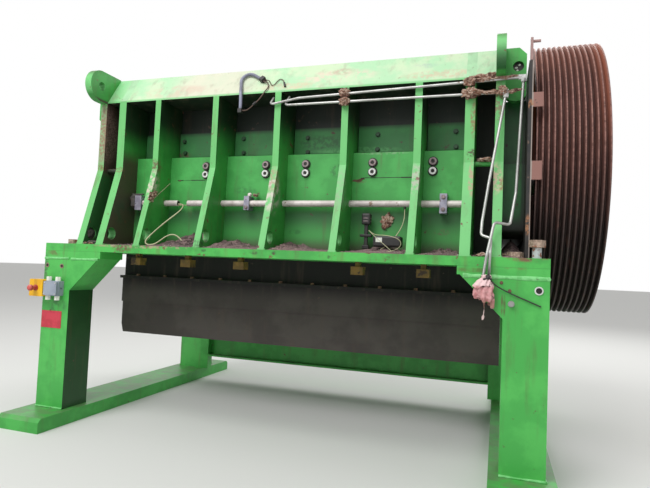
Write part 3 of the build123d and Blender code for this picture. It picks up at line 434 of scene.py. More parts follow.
# Turned belt grooves: fine even rust, lighter red-brown above as painted light, near black below as painted
# shade, pale on the crests as painted highlight
groove_rust = weathered(
    "rusted_belt_grooves", "5C3A33", "53322B", "7A4C3E", 0.8, "8A5444", 0.35, 0.62, patch=60, fine=0.15,
    films=[
        ("1B1413", 0.93, [(2, 1820, 1150)]), ("94553F", 0.5, [(2, 1950, 2330)]),
        ("B0684E", 0.5, [(2, 1500, 2000), (0, 1640, 1700)]),
    ],
)
# Lands between the grooves, painted pale as their highlight and darker below as painted shade
lit_land_rust = weathered(
    "lit_and_shaded_rim_lands", "8C6258", "6E4A42", "5A382E", 0.58, "8E6050", 0.3, 0.5, patch=14, fine=0.1,
    films=[("2A2120", 0.92, [(2, 1780, 1150)]), ("A4664F", 0.5, [(2, 1950, 2330)])],
)
# Dull galvanised tube; the conduit's is whiter, with a bloom of zinc salts, and its clamps are lilac-grey
zinc_tube = weathered(
    "dull_zinc_plate", "B9B9B6", "9F9F9C", "6E5B4C", 0.64, "7C766B", 0.2, 0.4, 0.6,
    spots=[("6A5242", 0.8, (1140, -750, 1225), (50, 90, 75), 60)],
)
bloomed_zinc = weathered(
    "bloomed_zinc_conduit", "D6CDCA", "BEB4B1", "8A7468", 0.6, "D2C8C4", 0.4, 0.55, 0.15, patch=60,
)
lilac_clamp = weathered(
    "galvanised_clamp_plate", "A3A0B0", "8A8798", "6A584C", 0.62, "8A8480", 0.3, 0.5, 0.3, patch=40,
)
ground_steel = weathered("ground_tool_steel", "A3A4A5", "8E8F90", "6B5144", 0.62, "7C766B", 0.2, 0.35, 0.9)
loose_steel = weathered(
    "plain_steel_bolt", "B7A08E", "8E7A6C", "8A5A44", 0.55, "A58F80", 0.5, 0.6, 0.3, patch=14,
    films=[("B9C6C8", 0.85, [(0, 1366, 1370), (2, 1131, 1127)])],
)
red_plastic = weathered(
    "red_moulded_abs", "D0605A", "A83A38", "5A2A22", 0.75, "D08A84", 0.4, 0.4, patch=30, ior=1.46,
)
primed_rim = weathered("red_primed_edge", "9A6A68", "7A8A6A", "5A3A34", 0.6, "8A6A64", 0.2, 0.6, patch=12)
dry_twig = weathered("dry_green_twig", "93A878", "7C8A5E", "5A4A38", 0.6, "A0A888", 0.3, 0.8, patch=20)
pink_cloth = weathered(
    "faded_pink_cotton_rag", "D9A3A4", "C08284", "7A5A58", 0.6, "EBCFCB", 0.5, 0.95, patch=22,
    films=[
        # Painted highlight: the rag is painted whiter above Z 936, where its folds catch the light; the brown
        # band near the hem is dirt
        ("F0D8D8", 0.7, [(2, 936, 950)]), ("8E6A54", 0.6, [(2, 892, 866), (2, 830, 845)]),
        ("C9B8B4", 0.8, [(2, 850, 830)]),
    ],
)
red_plate = weathered("red_enamel_plate", "C8384A", "B82E3E", "8F3A3A", 0.66, "8A4A40", 0.1, 0.4, patch=50)
black_plastic = weathered(
    "black_polyamide", "1B1A1A", "262423", "4C4036", 0.68, "4B454C", 0.3, 0.55, ior=1.53,
)
conduit_plastic = weathered(
    "grey_corrugated_polyamide", "8A8CA0", "6A6C7C", "574B40", 0.7, "9A9AA6", 0.3, 0.5, ior=1.53,
)
pale_sheath = weathered("pale_pvc_sheath", "BFBD98", "A8A684", "6E5F49", 0.7, "C8C09A", 0.3, 0.55, ior=1.52)
brown_sheath = weathered(
    "brown_rubber_sheath", "5A443A", "4A362C", "5B4436", 0.68, "6B5C4E", 0.3, 0.6, ior=1.52,
)
weld_metal = weathered("painted_weld_bead", "7FD083", "62BC68", "5A6A4A", 0.6, "9AD89C", 0.4, 0.45, patch=30)
rusty_bolt = weathered(
    "rusted_bolt_steel", "6E5344", "54402F", "8C6A55", 0.55, "776656", 0.3, 0.75, 0.2, patch=30,
)
dark_screw = weathered(
    "oiled_black_screw", "2A2826", "1D1C1A", "45382F", 0.62, "3E3A34", 0.3, 0.45, 0.3, patch=30,
)
green_bolt = weathered("painted_bolt_head", "1F4A2A", "17391F", "3A3028", 0.62, "2A3A2C", 0.3, 0.5, patch=30)
greyed_screw = weathered(
    "dulled_screw_head", "9A8A8C", "7E7072", "5A4A44", 0.62, "8A7E7C", 0.3, 0.5, 0.4, patch=30,
)
bright_screw = weathered(
    "zinc_plated_screw", "E2E2E0", "C6C6C4", "8B8A84", 0.7, "C8C4BC", 0.2, 0.35, 0.4, patch=30,
)
pale_gland = weathered(
    "pale_grey_polyamide", "E2E6DC", "CDD2C8", "9D9486", 0.72, "D8DCD0", 0.3, 0.5, ior=1.53,
)
# Dust, wood fibre and plastic granules packed with oil, and the loose chips on them
granules = weathered(
    "oily_dust_and_granules", "6A5656", "4A3C3C", "8A7270", 0.5, "7A6665", 0.6, 0.95, patch=16, ior=1.45,
    spots=[
        ("2A2220", 0.8, (-560, -760, 1120), (230, 110, 60), 24),
        ("9A7E7C", 0.6, (330, -780, 1100), (900, 140, 60), 9),
    ],
)
chip_finish = weathered(
    "loose_plastic_chips", "9A8684", "6A5854", "B8A8A6", 0.5, "A8989A", 0.3, 0.7, patch=12,
)

finishes = {
    green_enamel: "rear_cross_beam bearing_cover pivot_brackets left_skid right_skid",
    leg_enamel: "leg_top_plates legs",
    rib_enamel: "front_ribs rear_ribs",
    base_enamel: "base_flange",
    shaded_enamel: "upper_walls cover_plates",
    wall_enamel: "front_lower_wall rear_lower_wall",
    end_enamel: "right_end_wall right_outer_wall",
    brown_end_enamel: "left_end_wall left_outer_wall",
    recess_enamel: "recess_walls",
    bar_enamel: "recess_stiffeners",
    bearing_enamel: "left_bearing right_bearing",
    sky_lit_enamel: "front_top_beam rear_top_beam",
    dusty_plate: "bed_knife_holders rotor_body",
    discharge_plate: "discharge_walls discharge_end_walls",
    guard_plate: "guard_back_plate",
    lilac_clamp: "conduit_clamps",
    shaded_yellow: "clamp_blocks",
    ground_steel: "bed_knives rotor_shaft rotor_knives",
    loose_steel: "hold_down_bolts",
    grey_powder_coat: "junction_box",
    yellow_plastic: "stop_box",
    red_plastic: "stop_button",
    bloomed_zinc: "conduit_tube",
    rusty_iron: "hydraulic_clamps",
    black_plastic: "conduit_fittings conduit_couplings branch_plug",
    conduit_plastic: "beam_conduit",
    pale_sheath: "bay_cable rib_cable",
    brown_sheath: "beam_cable branch_cable",
}
for finish, names in finishes.items():
    for name in names.split():
        nodes[name].data.materials.clear()
        nodes[name].data.materials.append(finish)


def only(*pieces):
    """Selects these pieces alone; the first is the active one."""
    bpy.ops.object.select_all(action="DESELECT")
    for piece in pieces:
        piece.select_set(True)
    bpy.context.view_layer.objects.active = pieces[0]


def baked(piece):
    """Puts a piece's place, turn and size into its mesh."""
    only(piece)
    bpy.ops.object.transform_apply(location=True, rotation=True, scale=True)
    return piece


def primitive(operator, location=(0, 0, 0), **settings):
    """Adds one simple mesh with nothing else selected."""
    bpy.ops.object.select_all(action="DESELECT")
    operator(location=location, **settings)
    return bpy.context.object


def open_all(piece):
    """Opens a piece in edit mode with all of it selected."""
    only(piece)
    bpy.ops.object.mode_set(mode="EDIT")
    bpy.ops.mesh.select_all(action="SELECT")


def open_some(piece, kind, test):
    """Opens a piece in edit mode with those faces or edges selected that pass a test."""
    only(piece)
    bpy.ops.object.mode_set(mode="EDIT")
    bpy.ops.mesh.select_mode(type=kind)
    bpy.ops.mesh.select_all(action="DESELECT")
    bpy.ops.object.mode_set(mode="OBJECT")
    for part in piece.data.polygons if kind == "FACE" else piece.data.edges:
        part.select = test(part)
    bpy.ops.object.mode_set(mode="EDIT")


def finished(piece, name, finish, body="machine"):
    """Gives a piece its name and its finish, and lets it move with its body."""
    baked(piece)
    piece.name = name
    piece.data.name = name
    piece.data.materials.clear()
    piece.data.materials.append(finish)
    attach(piece, body)


def joined(*pieces):
    """Several meshes as one."""
    only(*pieces)
    bpy.ops.object.join()
    return bpy.context.object


def grouped(name, finish, *pieces):
    """Several meshes as one finished piece."""
    finished(joined(*pieces), name, finish)


def smooth_copy(node, name, finish, body):
    """A rounded CAD node with joined triangles and smoothly shaded curves; it stands for the node."""
    piece = nodes[node].copy()
    piece.data = nodes[node].data.copy()
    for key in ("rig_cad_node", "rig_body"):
        if key in piece:
            del piece[key]
    piece.parent = None
    bpy.context.scene.collection.objects.link(piece)
    open_all(piece)
    bpy.ops.mesh.remove_doubles(threshold=touching)
    bpy.ops.object.mode_set(mode="OBJECT")
    bpy.ops.object.shade_smooth_by_angle(angle=smooth_angle)
    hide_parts(node)
    finished(piece, name, finish, body)


# Metres between points that count as one, and the widest angle that is shaded smooth
touching = 0.00001
smooth_angle = math.radians(24)
smooth_copy("flywheel_web", "wheel_web", yellow_enamel, "rotor")
smooth_copy("hydraulic_tubes", "hydraulic_lines", zinc_tube, "machine")


def rounded(piece, width, segments=2):
    """Rounds the sharp edges of a piece, width in millimetres."""
    only(piece)
    edge = piece.modifiers.new("rounded", "BEVEL")
    edge.width = width * mm
    edge.segments = segments
    edge.limit_method = "ANGLE"
    bpy.ops.object.modifier_apply(modifier=edge.name)
    return piece


def turned(profile, steps):
    """A ring turned about the rotor's axis from a closed profile of (X, radius) points in millimetres."""
    piece = primitive(bpy.ops.mesh.primitive_plane_add, size=0.1)
    open_all(piece)
    bpy.ops.mesh.merge(type="CENTER")
    spot = Vector((0, 0, 0))
    for index, (x, radius) in enumerate([*profile, profile[0]]):
        step = place(x, 0, axis_z + radius) - spot
        if index:
            bpy.ops.mesh.extrude_region_move(TRANSFORM_OT_translate={"value": step})
        else:
            bpy.ops.transform.translate(value=step)
        spot += step
    bpy.ops.mesh.select_all(action="SELECT")
    bpy.ops.mesh.remove_doubles(threshold=touching)
    bpy.ops.mesh.select_all(action="SELECT")
    bpy.ops.mesh.spin(steps=steps, angle=2 * math.pi, center=(0, 0, axis_z * mm), axis=(1, 0, 0))
    bpy.ops.mesh.select_all(action="SELECT")
    bpy.ops.mesh.remove_doubles(threshold=touching)
    bpy.ops.mesh.normals_make_consistent(inside=False)
    bpy.ops.object.mode_set(mode="OBJECT")
    bpy.ops.object.shade_smooth_by_angle(angle=smooth_angle)
    return piece


# Belt rim of the flywheel: twelve grooves with narrow lands between them, their corners rubbed round
rim_start, rim_radius, rim_wall, rim_edge = 1381.2, 781, 75, 17
groove_pitch, groove_depth, groove_mouth, floor_half = 26.8, 26, 21.5, 1.4
corner_run, corner_drop = 1.2, 1.6
profile = [(rim_start, rim_radius - rim_wall), (rim_start, rim_radius - 1), (rim_start + 1, rim_radius)]
for groove in range(12):
    centre = rim_start + rim_edge + groove * groove_pitch
    mouth_start, mouth_end = centre - groove_mouth / 2, centre + groove_mouth / 2
    profile += [
        (mouth_start, rim_radius), (mouth_start + corner_run, rim_radius - corner_drop),
        (centre - floor_half, rim_radius - groove_depth), (centre + floor_half, rim_radius - groove_depth),
        (mouth_end - corner_run, rim_radius - corner_drop), (mouth_end, rim_radius),
    ]
rim_end = rim_start + 2 * rim_edge + 11 * groove_pitch
profile += [(rim_end - 1, rim_radius), (rim_end, rim_radius - 1), (rim_end, rim_radius - rim_wall)]
rim = turned(profile, 144)
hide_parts("flywheel_rim")
finished(rim, "grooved_rim", groove_rust, "rotor")
rim.data.materials.append(lit_land_rust)
for face in rim.data.polygons:
    centre = face.center - Vector((face.center.x, 0, axis_z * mm))
    if centre.length > (rim_radius - 1.7) * mm:
        face.material_index = 1


def block(low, high, bevel):
    """A block between two corners, with its edges rounded."""
    low, high = place(*low), place(*high)
    piece = primitive(bpy.ops.mesh.primitive_cube_add, size=1, location=(low + high) / 2)
    piece.scale = high - low
    return rounded(baked(piece), bevel)


def slug(sides, radius, low, high):
    """A round or hexagonal slug along Z, between two heights in millimetres."""
    return baked(primitive(
        bpy.ops.mesh.primitive_cylinder_add, vertices=sides, radius=radius * mm, depth=(high - low) * mm,
        location=(0, 0, (high + low) / 2 * mm),
    ))


def sunk_top(piece, inset, sink):
    """Insets the upper face of a slug and sinks it, as for a socket or a bore."""
    open_some(piece, "FACE", lambda face: face.normal.z > 0.9)
    bpy.ops.mesh.inset(thickness=inset * mm, depth=0)
    bpy.ops.mesh.extrude_region_move(TRANSFORM_OT_translate={"value": (0, 0, -sink * mm)})
    bpy.ops.object.mode_set(mode="OBJECT")
    return piece


def spread(pattern, places, name, finish, body="machine"):
    """Copies a small piece, made at the origin with its outside up, to each place and turn, as one object."""
    copies = []
    for spot, outward in places:
        copy = pattern.copy()
        copy.data = pattern.data.copy()
        bpy.context.scene.collection.objects.link(copy)
        copy.location = place(*spot)
        copy.rotation_euler = outward
        copies.append(copy)
    bpy.data.objects.remove(pattern)
    finished(joined(*copies), name, finish, body)


def at_front(reach, *spots):
    """Places on a face that looks to the front, each spot given by its X and Z."""
    return [((x, -reach, z), front) for x, z in spots]


def ring_of(x, radius, outward):
    """Eight places round the rotor's axis."""
    turns = [math.radians(45 * step + 22.5) for step in range(8)]
    return [((x, radius * math.cos(a), axis_z + radius * math.sin(a)), outward) for a in turns]


def socket_screw(radius, height):
    """Head of a socket screw with its recess."""
    return sunk_top(slug(24, radius, 0, height), radius * 0.46, height * 0.6)


def hex_head(radius, height, washer):
    """Hexagon head on a washer, with its corners turned off."""
    return joined(rounded(slug(6, radius, 2, height), radius * 0.06, 1), slug(20, washer, 0, 2.5))


def stud_nut(radius, height, stud):
    """Hexagon nut with the rounded end of its stud."""
    end = rounded(slug(16, stud, 0, height + stud * 0.7), stud * 0.25)
    return joined(hex_head(radius, height, radius * 1.15), end)


def bead(start, stop, width, rise, out):
    """A weld bead with its ripples, laid from start to stop on a surface that faces out."""
    start, stop, out = place(*start), place(*stop), Vector(out)
    along = stop - start
    half = width / 2 * mm
    piece = primitive(
        bpy.ops.mesh.primitive_cylinder_add, vertices=8, radius=1, depth=1, location=(start + stop) / 2,
        rotation=along.to_track_quat("Z", "Y").to_euler(),
    )
    piece.scale = (half, half, along.length)
    baked(piece)
    points = piece.data.vertices

    def lengthwise(edge):
        a, b = edge.vertices
        return (points[a].co - points[b].co).length > along.length * 0.9

    open_some(piece, "EDGE", lengthwise)
    bpy.ops.mesh.subdivide(number_cuts=max(4, int(along.length / mm / 7)))
    bpy.ops.object.mode_set(mode="OBJECT")
    axis = along.normalized()
    for corner in points:
        run = (corner.co - start).dot(axis)
        foot = start + axis * run
        ripple = 0.85 + 0.3 * noise.noise(foot * 21) + 0.14 * math.sin(run / mm * 0.9)
        away = corner.co - foot
        across = away - out * away.dot(out) / out.length_squared
        lift = max(0.0, away.dot(out.normalized())) / half
        corner.co = foot + across * ripple + out.normalized() * (lift * rise * ripple - 0.4) * mm
    return piece


def cable(
    name, points, diameter, finish,
    share=1.0, in_part=True,
):
    """A free cable along its route's points."""
    curve = bpy.data.curves.new(name, "CURVE")
    curve.dimensions = "3D"
    slim = 0.01
    curve.bevel_depth = diameter / 2 * mm * share / slim
    curve.bevel_resolution = 5
    curve.use_fill_caps = True
    curve.resolution_u = 12
    spline = curve.splines.new("NURBS")
    spline.points.add(len(points) - 1)
    for knot, spot in zip(spline.points, points):
        knot.co = (*place(*spot), 1)
        knot.radius = slim
    spline.order_u = 3
    spline.use_endpoint_u = True
    curve.materials.append(finish)
    piece = bpy.data.objects.new(name, curve)
    bpy.context.scene.collection.objects.link(piece)
    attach(piece, "machine")
    if in_part:
        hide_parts(name[: -len("_line")])
    return piece


# Cables: out of the broken conduit, under the conduit, and over the front beam
cable(
    "bay_cable_line",
    [(-690, -620, 1357), (-668, -620, 1357), (-645, -632, 1348), (-639, -656, 1322), (-654, -690, 1288),
     (-688, -728, 1244), (-724, -762, 1196), (-752, -796, 1150), (-766, -822, 1118), (-756, -838, 1095),
     (-728, -838, 1087), (-704, -820, 1094), (-688, -796, 1114), (-670, -772, 1140), (-640, -756, 1158),
     (-606, -750, 1154), (-576, -746, 1130), (-556, -744, 1106)],
    8, pale_sheath,
)
cable(
    "rib_cable_line",
    [(733, -620, 1333.5), (733, -620, 1313.5), (738, -654, 1279.5), (735, -682, 1241.5), (719, -702, 1199.5),
     (691, -716, 1157.5), (653, -723, 1121.5), (613, -724, 1093.5)],
    5, pale_sheath,
)
cable(
    "beam_cable_line",
    [(-116.2, -685.8, 2077.4), (-102.7, -690.4, 2070), (-84, -691.5, 2062.5), (-73, -700.5, 2042.2),
     (-73, -713.1, 2021.7), (-82, -725.5, 2003.5), (-94, -739, 1972), (-112, -744, 1946), (-134, -747, 1924),
     (-158, -747, 1904), (-180, -746, 1890), (-196, -745, 1888), (-214, -745, 1888)],
    7, brown_sheath,
)
cable(
    "branch_cable_line",
    [(-108.1, -679.2, 2088.1), (-96.3, -683.2, 2081.7), (-80, -678.3, 2080.2), (-68, -687.2, 2059.8),
     (-58, -697.2, 2043.7), (-40, -697.2, 2043.7), (-32, -684.1, 2065), (-20, -671.5, 2085.4),
     (-4, -671.5, 2085.4), (12.6, -681.5, 2071.1), (20, -691.2, 2055.3)],
    5, brown_sheath,
)
cable(
    "looped_wire",
    [(581, -800, 1200), (600, -800, 1184), (625, -802, 1177), (660, -804, 1177), (698, -806, 1172),
     (732, -808, 1162), (752, -812, 1144), (752, -816, 1124), (735, -818, 1106), (708, -820, 1095),
     (680, -822, 1090)],
    3, pale_sheath, in_part=False,
)
cable(
    "crossed_wire",
    [(581, -804, 1200), (604, -804, 1178), (628, -806, 1157), (659, -808, 1133), (690, -812, 1108),
     (706, -816, 1094)],
    3, pale_sheath, in_part=False,
)
cable(
    "strap_line",
    [(1196, -918, 968), (1206, -914, 955), (1230, -896, 938), (1290, -890, 910), (1350, -889, 886),
     (1412, -888, 861)],
    6, black_plastic, in_part=False,
)
conduit_route = [
    (-226, -745, 1900), (-226, -745, 1948), (-232, -739, 2000), (-250, -702.4, 2050.4),
    (-266, -677.3, 2091.3), (-258, -657.3, 2123.6), (-228, -646.8, 2140.7), (-192, -653.1, 2130.5),
    (-162, -665.7, 2110), (-134, -675.2, 2094.7),
]

# Core of the corrugated conduit: one rib, repeated along the route, bent to it and drawn in by its slim knots
rib_pitch, rib_radius = 4.6, 9.6
ribs = primitive(
    bpy.ops.mesh.primitive_cylinder_add, vertices=20, radius=rib_radius * mm, depth=rib_pitch * mm,
    end_fill_type="NOTHING",
)
ribs.rotation_euler = (0, math.pi / 2, 0)
open_all(baked(ribs))
bpy.ops.mesh.subdivide(number_cuts=3)
bpy.ops.object.mode_set(mode="OBJECT")
for corner in ribs.data.vertices:
    swell = 1 + 0.19 * max(0.0, math.cos(corner.co.x / (rib_pitch * mm) * 2 * math.pi))
    corner.co.y *= swell
    corner.co.z *= swell
line = cable("beam_conduit_line", conduit_route, 22, conduit_plastic,
             0.86)
repeat = ribs.modifiers.new("repeat", "ARRAY")
repeat.fit_type = "FIT_CURVE"
repeat.curve = line
repeat.use_merge_vertices = True
repeat.merge_threshold = 0.0001
bend = ribs.modifiers.new("bend", "CURVE")
bend.object = line
for modifier in ("repeat", "bend"):
    only(ribs)
    bpy.ops.object.modifier_apply(modifier=modifier)
finished(ribs, "beam_conduit_ribs", conduit_plastic)

# Sleeve on the brown cable, halfway down from the beam
along_cable = Vector((-28, -2, -22)).to_track_quat("Z", "Y").to_euler()
spread(slug(20, 8, -12, 12), [((-136, -746, 1925), along_cable)], "cable_sleeve", black_plastic)

# Socket screws that hold the bed knives' holders, in pairs on the bays' ledges: greyed above, plated below
screw_spots = [(x, z) for x in (-527, -120, 136, 537, 872) for z in (1600, 1547)]
for side, end, outward in flanks:
    washers = [((x, end * ledge_reach, z), outward) for x, z in screw_spots]
    screws = [((x, end * screw_seat, z), outward) for x, z in screw_spots]
    spread(rounded(slug(24, 27, 0, 5), 0.8, 1), washers, f"{side}_ledge_washers", dark_screw)
    spread(socket_screw(20, 16), screws[::2], f"{side}_ledge_upper_screws", greyed_screw)
    spread(socket_screw(20, 16), screws[1::2], f"{side}_ledge_lower_screws", bright_screw)
    spread(slug(6, 9.6, 5, 13), screws, f"{side}_ledge_sockets", dark_screw)

# Hexagon bolts of the cover plates
cover_bolts = ((-743, 1780), (-733, 1705), (-316, 1785), (-311, 1695), (112, 1775), (116, 1688),
               (543, 1779), (543, 1692), (982, 1780), (985, 1694))
for side, end, outward in flanks:
    spots = [((x, end * cover_reach, z), outward) for x, z in cover_bolts]
    spread(hex_head(12, 13, 15), spots, f"{side}_cover_bolts", green_bolt)

# Bolts of the discharge housing's shelf, through both flanges
shelf_y, shelf_z, shelf_start, shelf_pitch = 425, 890, 152, 209
for side, end, _ in flanks:
    spots = [((shelf_start + shelf_pitch * step, end * shelf_y, shelf_z), up) for step in range(-6, 5)]
    spread(hex_head(12, 13, 15), spots, f"{side}_shelf_bolts", rusty_bolt)

# Big nuts of the bearing caps, the bearing cover's ring of bolts, and those that draw the hub onto its sleeve
cap_x, cap_y, cap_z = 1287.5, 300, 1923
caps = [((side * cap_x, end * cap_y, cap_z), up) for side in (-1, 1) for end in (-1, 1)]
spread(stud_nut(30, 26, 17), caps, "bearing_cap_nuts", dark_screw)
spread(hex_head(15, 13, 18), ring_of(-1374.5, 180, left_way), "bearing_cover_bolts", dark_screw)
spread(hex_head(17, 15, 21), ring_of(1650.6, 135, right_way), "hub_bolts", rusty_bolt, "rotor")

# Dark discs at the bottom of the pivot holes
pivot_x, floor_y, pivot_z = 1296.5, 598, 2080
holes = [
    ((side * pivot_x, end * floor_y, pivot_z), outward) for side in (-1, 1) for _, end, outward in flanks
]
spread(slug(24, 26.5, 0, 3), holes, "pivot_hole_dark_discs", dark_screw)

# Fasteners on the right front leg: a ring with its bore, a hexagon bolt and two small screws
ring_spot = at_front(flange_reach, (1402, 932))
spread(sunk_top(rounded(slug(32, 19.5, 0, 5), 1, 1), 5, 4.2), ring_spot, "leg_ring", bright_screw)
spread(slug(24, 13.5, 0, 1.6), ring_spot, "leg_ring_core", dark_screw)
spread(hex_head(12.5, 17, 15), at_front(flange_reach, (1284, 866)), "leg_bolt", zinc_tube)
spread(hex_head(7, 5, 8), at_front(flange_reach, (1276, 926), (1239, 962)), "leg_screws", rusty_bolt)

# Holes in the left leg with red primer round them, and the bare red plate below
hole_spots = at_front(flange_reach, (-1427, 943), (-1315.5, 940))
spread(sunk_top(slug(24, 14, 0, 2), 4, 1.2), hole_spots, "leg_hole_rims", primed_rim)
spread(slug(20, 8, 0, 1.4), hole_spots, "leg_hole_cores", dark_screw)
plate = block((-1445, -flange_reach - 2.5, 561), (-1294, -flange_reach, 665), 0.8)
finished(plate, "bare_red_plate", red_plate)

# Screws on the grey box's lid, and the cross-slotted plug in its side
lid_spots = at_front(938, (-1384, 770), (-1384, 837), (-1302, 770), (-1302, 837))
spread(socket_screw(4.5, 3), lid_spots, "lid_screws", bright_screw)
plug_spot = (-1291, -906, 806)
spread(rounded(slug(20, 9, 0, 3), 0.8, 1), [(plug_spot, right_way)], "box_side_plug", grey_powder_coat)
slot = rounded(slug(4, 9, 3, 3.8), 0.2, 1)
slot.scale = (1, 0.3, 1)
slot.rotation_euler = (0, 0, math.radians(45))
crossed = [(plug_spot, Euler((quarter, math.pi / 2, 0))) for quarter in (0, math.pi / 2)]
spread(baked(slot), crossed, "box_plug_slots", dark_screw)

# Welds round the top of each leg, broken where the left haunch ends, and at its foot
beads = []
top_z, foot_z = 986, 84
for side, width, runs in ((-1, 18, [(-1049, -1247), (-1264, -leg_outer)]), (1, 24, [(1064, leg_outer)])):
    inner, outer = side * leg_inner, side * leg_outer
    for end in (-1, 1):
        face, hidden = end * flange_reach, end * leg_reach
        for start, stop in runs:
            beads.append(bead((start, face, top_z + 3), (stop, face, top_z), width, 6, (0, end, 0)))
        beads.append(bead((outer, face, top_z), (outer, hidden, top_z), 16, 5, (side, 0, 0)))
        beads.append(bead((inner, face, foot_z), (outer, face, foot_z), 16, 9, (0, end, 0.6)))
        beads.append(bead((outer, face, foot_z), (outer, hidden, foot_z), 16, 9, (side, 0, 0.6)))
grouped("leg_welds", weld_metal, *beads)

# Fillet welds where the ribs, end walls and outer walls stand on the base flange
beads = []
stands = [(x, 19) for x in (-804, -402, 0, 402, 804)] + [(-1067, 25), (1067, 25), (-1212, 22.5), (1212, 22.5)]
for x, half in stands:
    for end in (-1, 1):
        for side in (-1, 1):
            edge = x + side * half
            start, stop = (edge, end * 860, flange_top + 2), (edge, end * 706, flange_top + 2)
            beads.append(bead(start, stop, 14, 8, (side, 0, 1)))
grouped("foot_welds", rib_enamel, *beads)


def lump(centre, reach, rough, seed, detail=3):
    """A crusted lump of dirt or rust, reach in millimetres each way."""
    piece = primitive(bpy.ops.mesh.primitive_ico_sphere_add, subdivisions=detail, radius=1)
    for corner in piece.data.vertices:
        coarse = noise.noise(corner.co * 1.7 + Vector((seed, seed, 0)))
        push = 1 + rough * coarse + rough * 0.6 * noise.noise(corner.co * 4.3)
        corner.co = Vector([along * half for along, half in zip(corner.co, reach)]) * push * mm
    piece.location = place(*centre)
    return baked(piece)


# Rust and greasy dirt packed round the tube clamps and along the tubes at the right end
packed = (
    (1067, -745, 1972, 30, 21, 20), (1067, -748, 1912, 36, 24, 25), (1100, -742, 1914, 26, 11, 12),
    (1140, -740, 1911, 34, 10, 9), (1180, -740, 1912, 30, 11, 9), (1222, -746, 1914, 22, 20, 20),
    (1110, -742, 1977, 40, 10, 9), (1160, -740, 1980, 44, 9, 9), (1215, -742, 1983, 44, 10, 9),
    (1268, -739, 1984, 30, 8, 8), (1090, -724, 1996, 40, 9, 9), (1130, -722, 2002, 44, 9, 13),
    (1170, -722, 2006, 26, 9, 13), (1255, -744, 1906, 30, 7, 6), (1290, -742, 1916, 24, 6, 6),
    (402, -744, 1955, 24, 20, 22), (402, -744, 1908, 24, 19, 20),
)
crusts = [lump(row[:3], row[3:], 0.75, index * 3.1, 4) for index, row in enumerate(packed)]
grouped("clamp_crusts", crust, *crusts)

# Elbow fittings where both lines turn down, each with a nut below and a nut at its side
elbows = ((1318.5, 1978), (1238.5, 1908))
nuts = ((1318.5, 1962, up), (1237.5, 1888, up), (1302, 1977.5, right_way), (1222, 1908, right_way))
fittings = [block((x - 12, -749, z - 12), (x + 12, -725, z + 12), 3) for x, z in elbows]
for x, z, lean in nuts:
    nut = slug(6, 14, -8, 8)
    nut.rotation_euler = lean
    nut.location = place(x, -741, z)
    fittings.append(baked(nut))
grouped("tube_elbows", bright_screw, *fittings)

# Clamps of the conduit: bolt ends above them, and clips behind
grouped(
    "clamp_knob", bloomed_zinc,
    block((-202, -646, 1403), (-184, -622, 1414), 3), lump((-193, -634, 1416), (13, 9, 8), 0.2, 1.0),
)
grouped("clamp_green_knob", crust, lump((-165, -612, 1412), (15, 26, 9), 0.4, 5.0))
spread(slug(24, 15, -4, 4), at_front(622, (940, 1424)), "clamp_clip", green_enamel)
spread(hex_head(9, 8, 12), at_front(647, (939, 1396), (939, 1330), (-208, 1336)), "clamp_bolts", greyed_screw)

# Wire left in the open end of the conduit
spread(slug(10, 2.2, 0, 76), [((-693, -622, 1350), right_way)], "conduit_wire", pale_sheath)

# Control pieces at the foot of the fourth bay: plug on its stem, small black box with a bare white patch
grouped(
    "bay_plug", black_plastic,
    block((504, -663, 1243), (552, -617, 1305), 8), block((518, -650, flange_top + 8), (538, -630, 1245), 3),
    block((496, -657, 1176), (560, -623, 1190), 3), block((510, -656, 1110), (546, -624, 1130), 3),
)
spread(slug(24, 27, -2, 2), [((528, -640, z), up) for z in (1262, 1278)], "plug_rings", greyed_screw)
grouped("bay_box", black_plastic, block((588, -736, 1120), (738, -668, 1178), 9))
grouped("bay_box_patch", pale_gland, block((604, -738, 1144), (638, -736, 1168), 0.4))

# Valve parts at the conduit's left end, and a stick that leans in the bay beside the second rib
grouped(
    "conduit_valve", dusty_plate,
    lump((-1006, -624, 1396), (30, 24, 30), 0.5, 2.0), block((-1026, -650, 1338), (-994, -608, 1392), 6),
    lump((-1000, -622, 1348), (24, 22, 24), 0.5, 8.0), block((-996, -640, 1412), (-940, -626, 1422), 3),
)
stick_foot, stick_head = (-781, -786, 1345), (-779, -592, 1490)
way = place(*stick_head) - place(*stick_foot)
spread(slug(10, 3.5, 0, way.length / mm), [(stick_foot, way.to_track_quat("Z", "Y").to_euler())],
       "leaning_stick", dry_twig)
grouped(
    "bay_dirt_lumps", crust,
    lump((-783, -770, 1378), (9, 22, 28), 0.7, 1.0, 4), lump((-783, -738, 1402), (8, 20, 18), 0.7, 4.0, 4),
    lump((630, -588, 1272), (26, 11, 30), 0.7, 7.0, 4), lump((618, -586, 1240), (14, 8, 16), 0.7, 9.0, 4),
    lump((640, -590, 1306), (7, 8, 14), 0.7, 3.0, 4),
)

# Joint lines across two lower walls, with ragged ends
joints = (
    (-732, -690, -579.2, 1511, 1516, 0.4), (-690, -632, -579, 1512.5, 1514, 0.3),
    (-632, -536, -579.2, 1511.5, 1515.5, 0.4), (484, 700, -579.2, 1514, 1517, 0.4),
    (700, 778, -579.4, 1512.5, 1518, 0.4), (470, 490, -579.2, 1508, 1516, 0.4),
)
strokes = [block((x0, y, z0), (x1, -577, z1), bevel) for x0, x1, y, z0, z1, bevel in joints]
grouped("wall_joint_lines", dark_screw, *strokes)
grouped(
    "joint_rust", rusty_bolt,
    lump((452, -579, 1500), (24, 2, 6), 0.8, 2.0), lump((474, -579, 1507), (14, 2, 4), 0.8, 9.0),
    lump((-716, -579, 1512), (9, 1.5, 4), 0.8, 6.0),
)


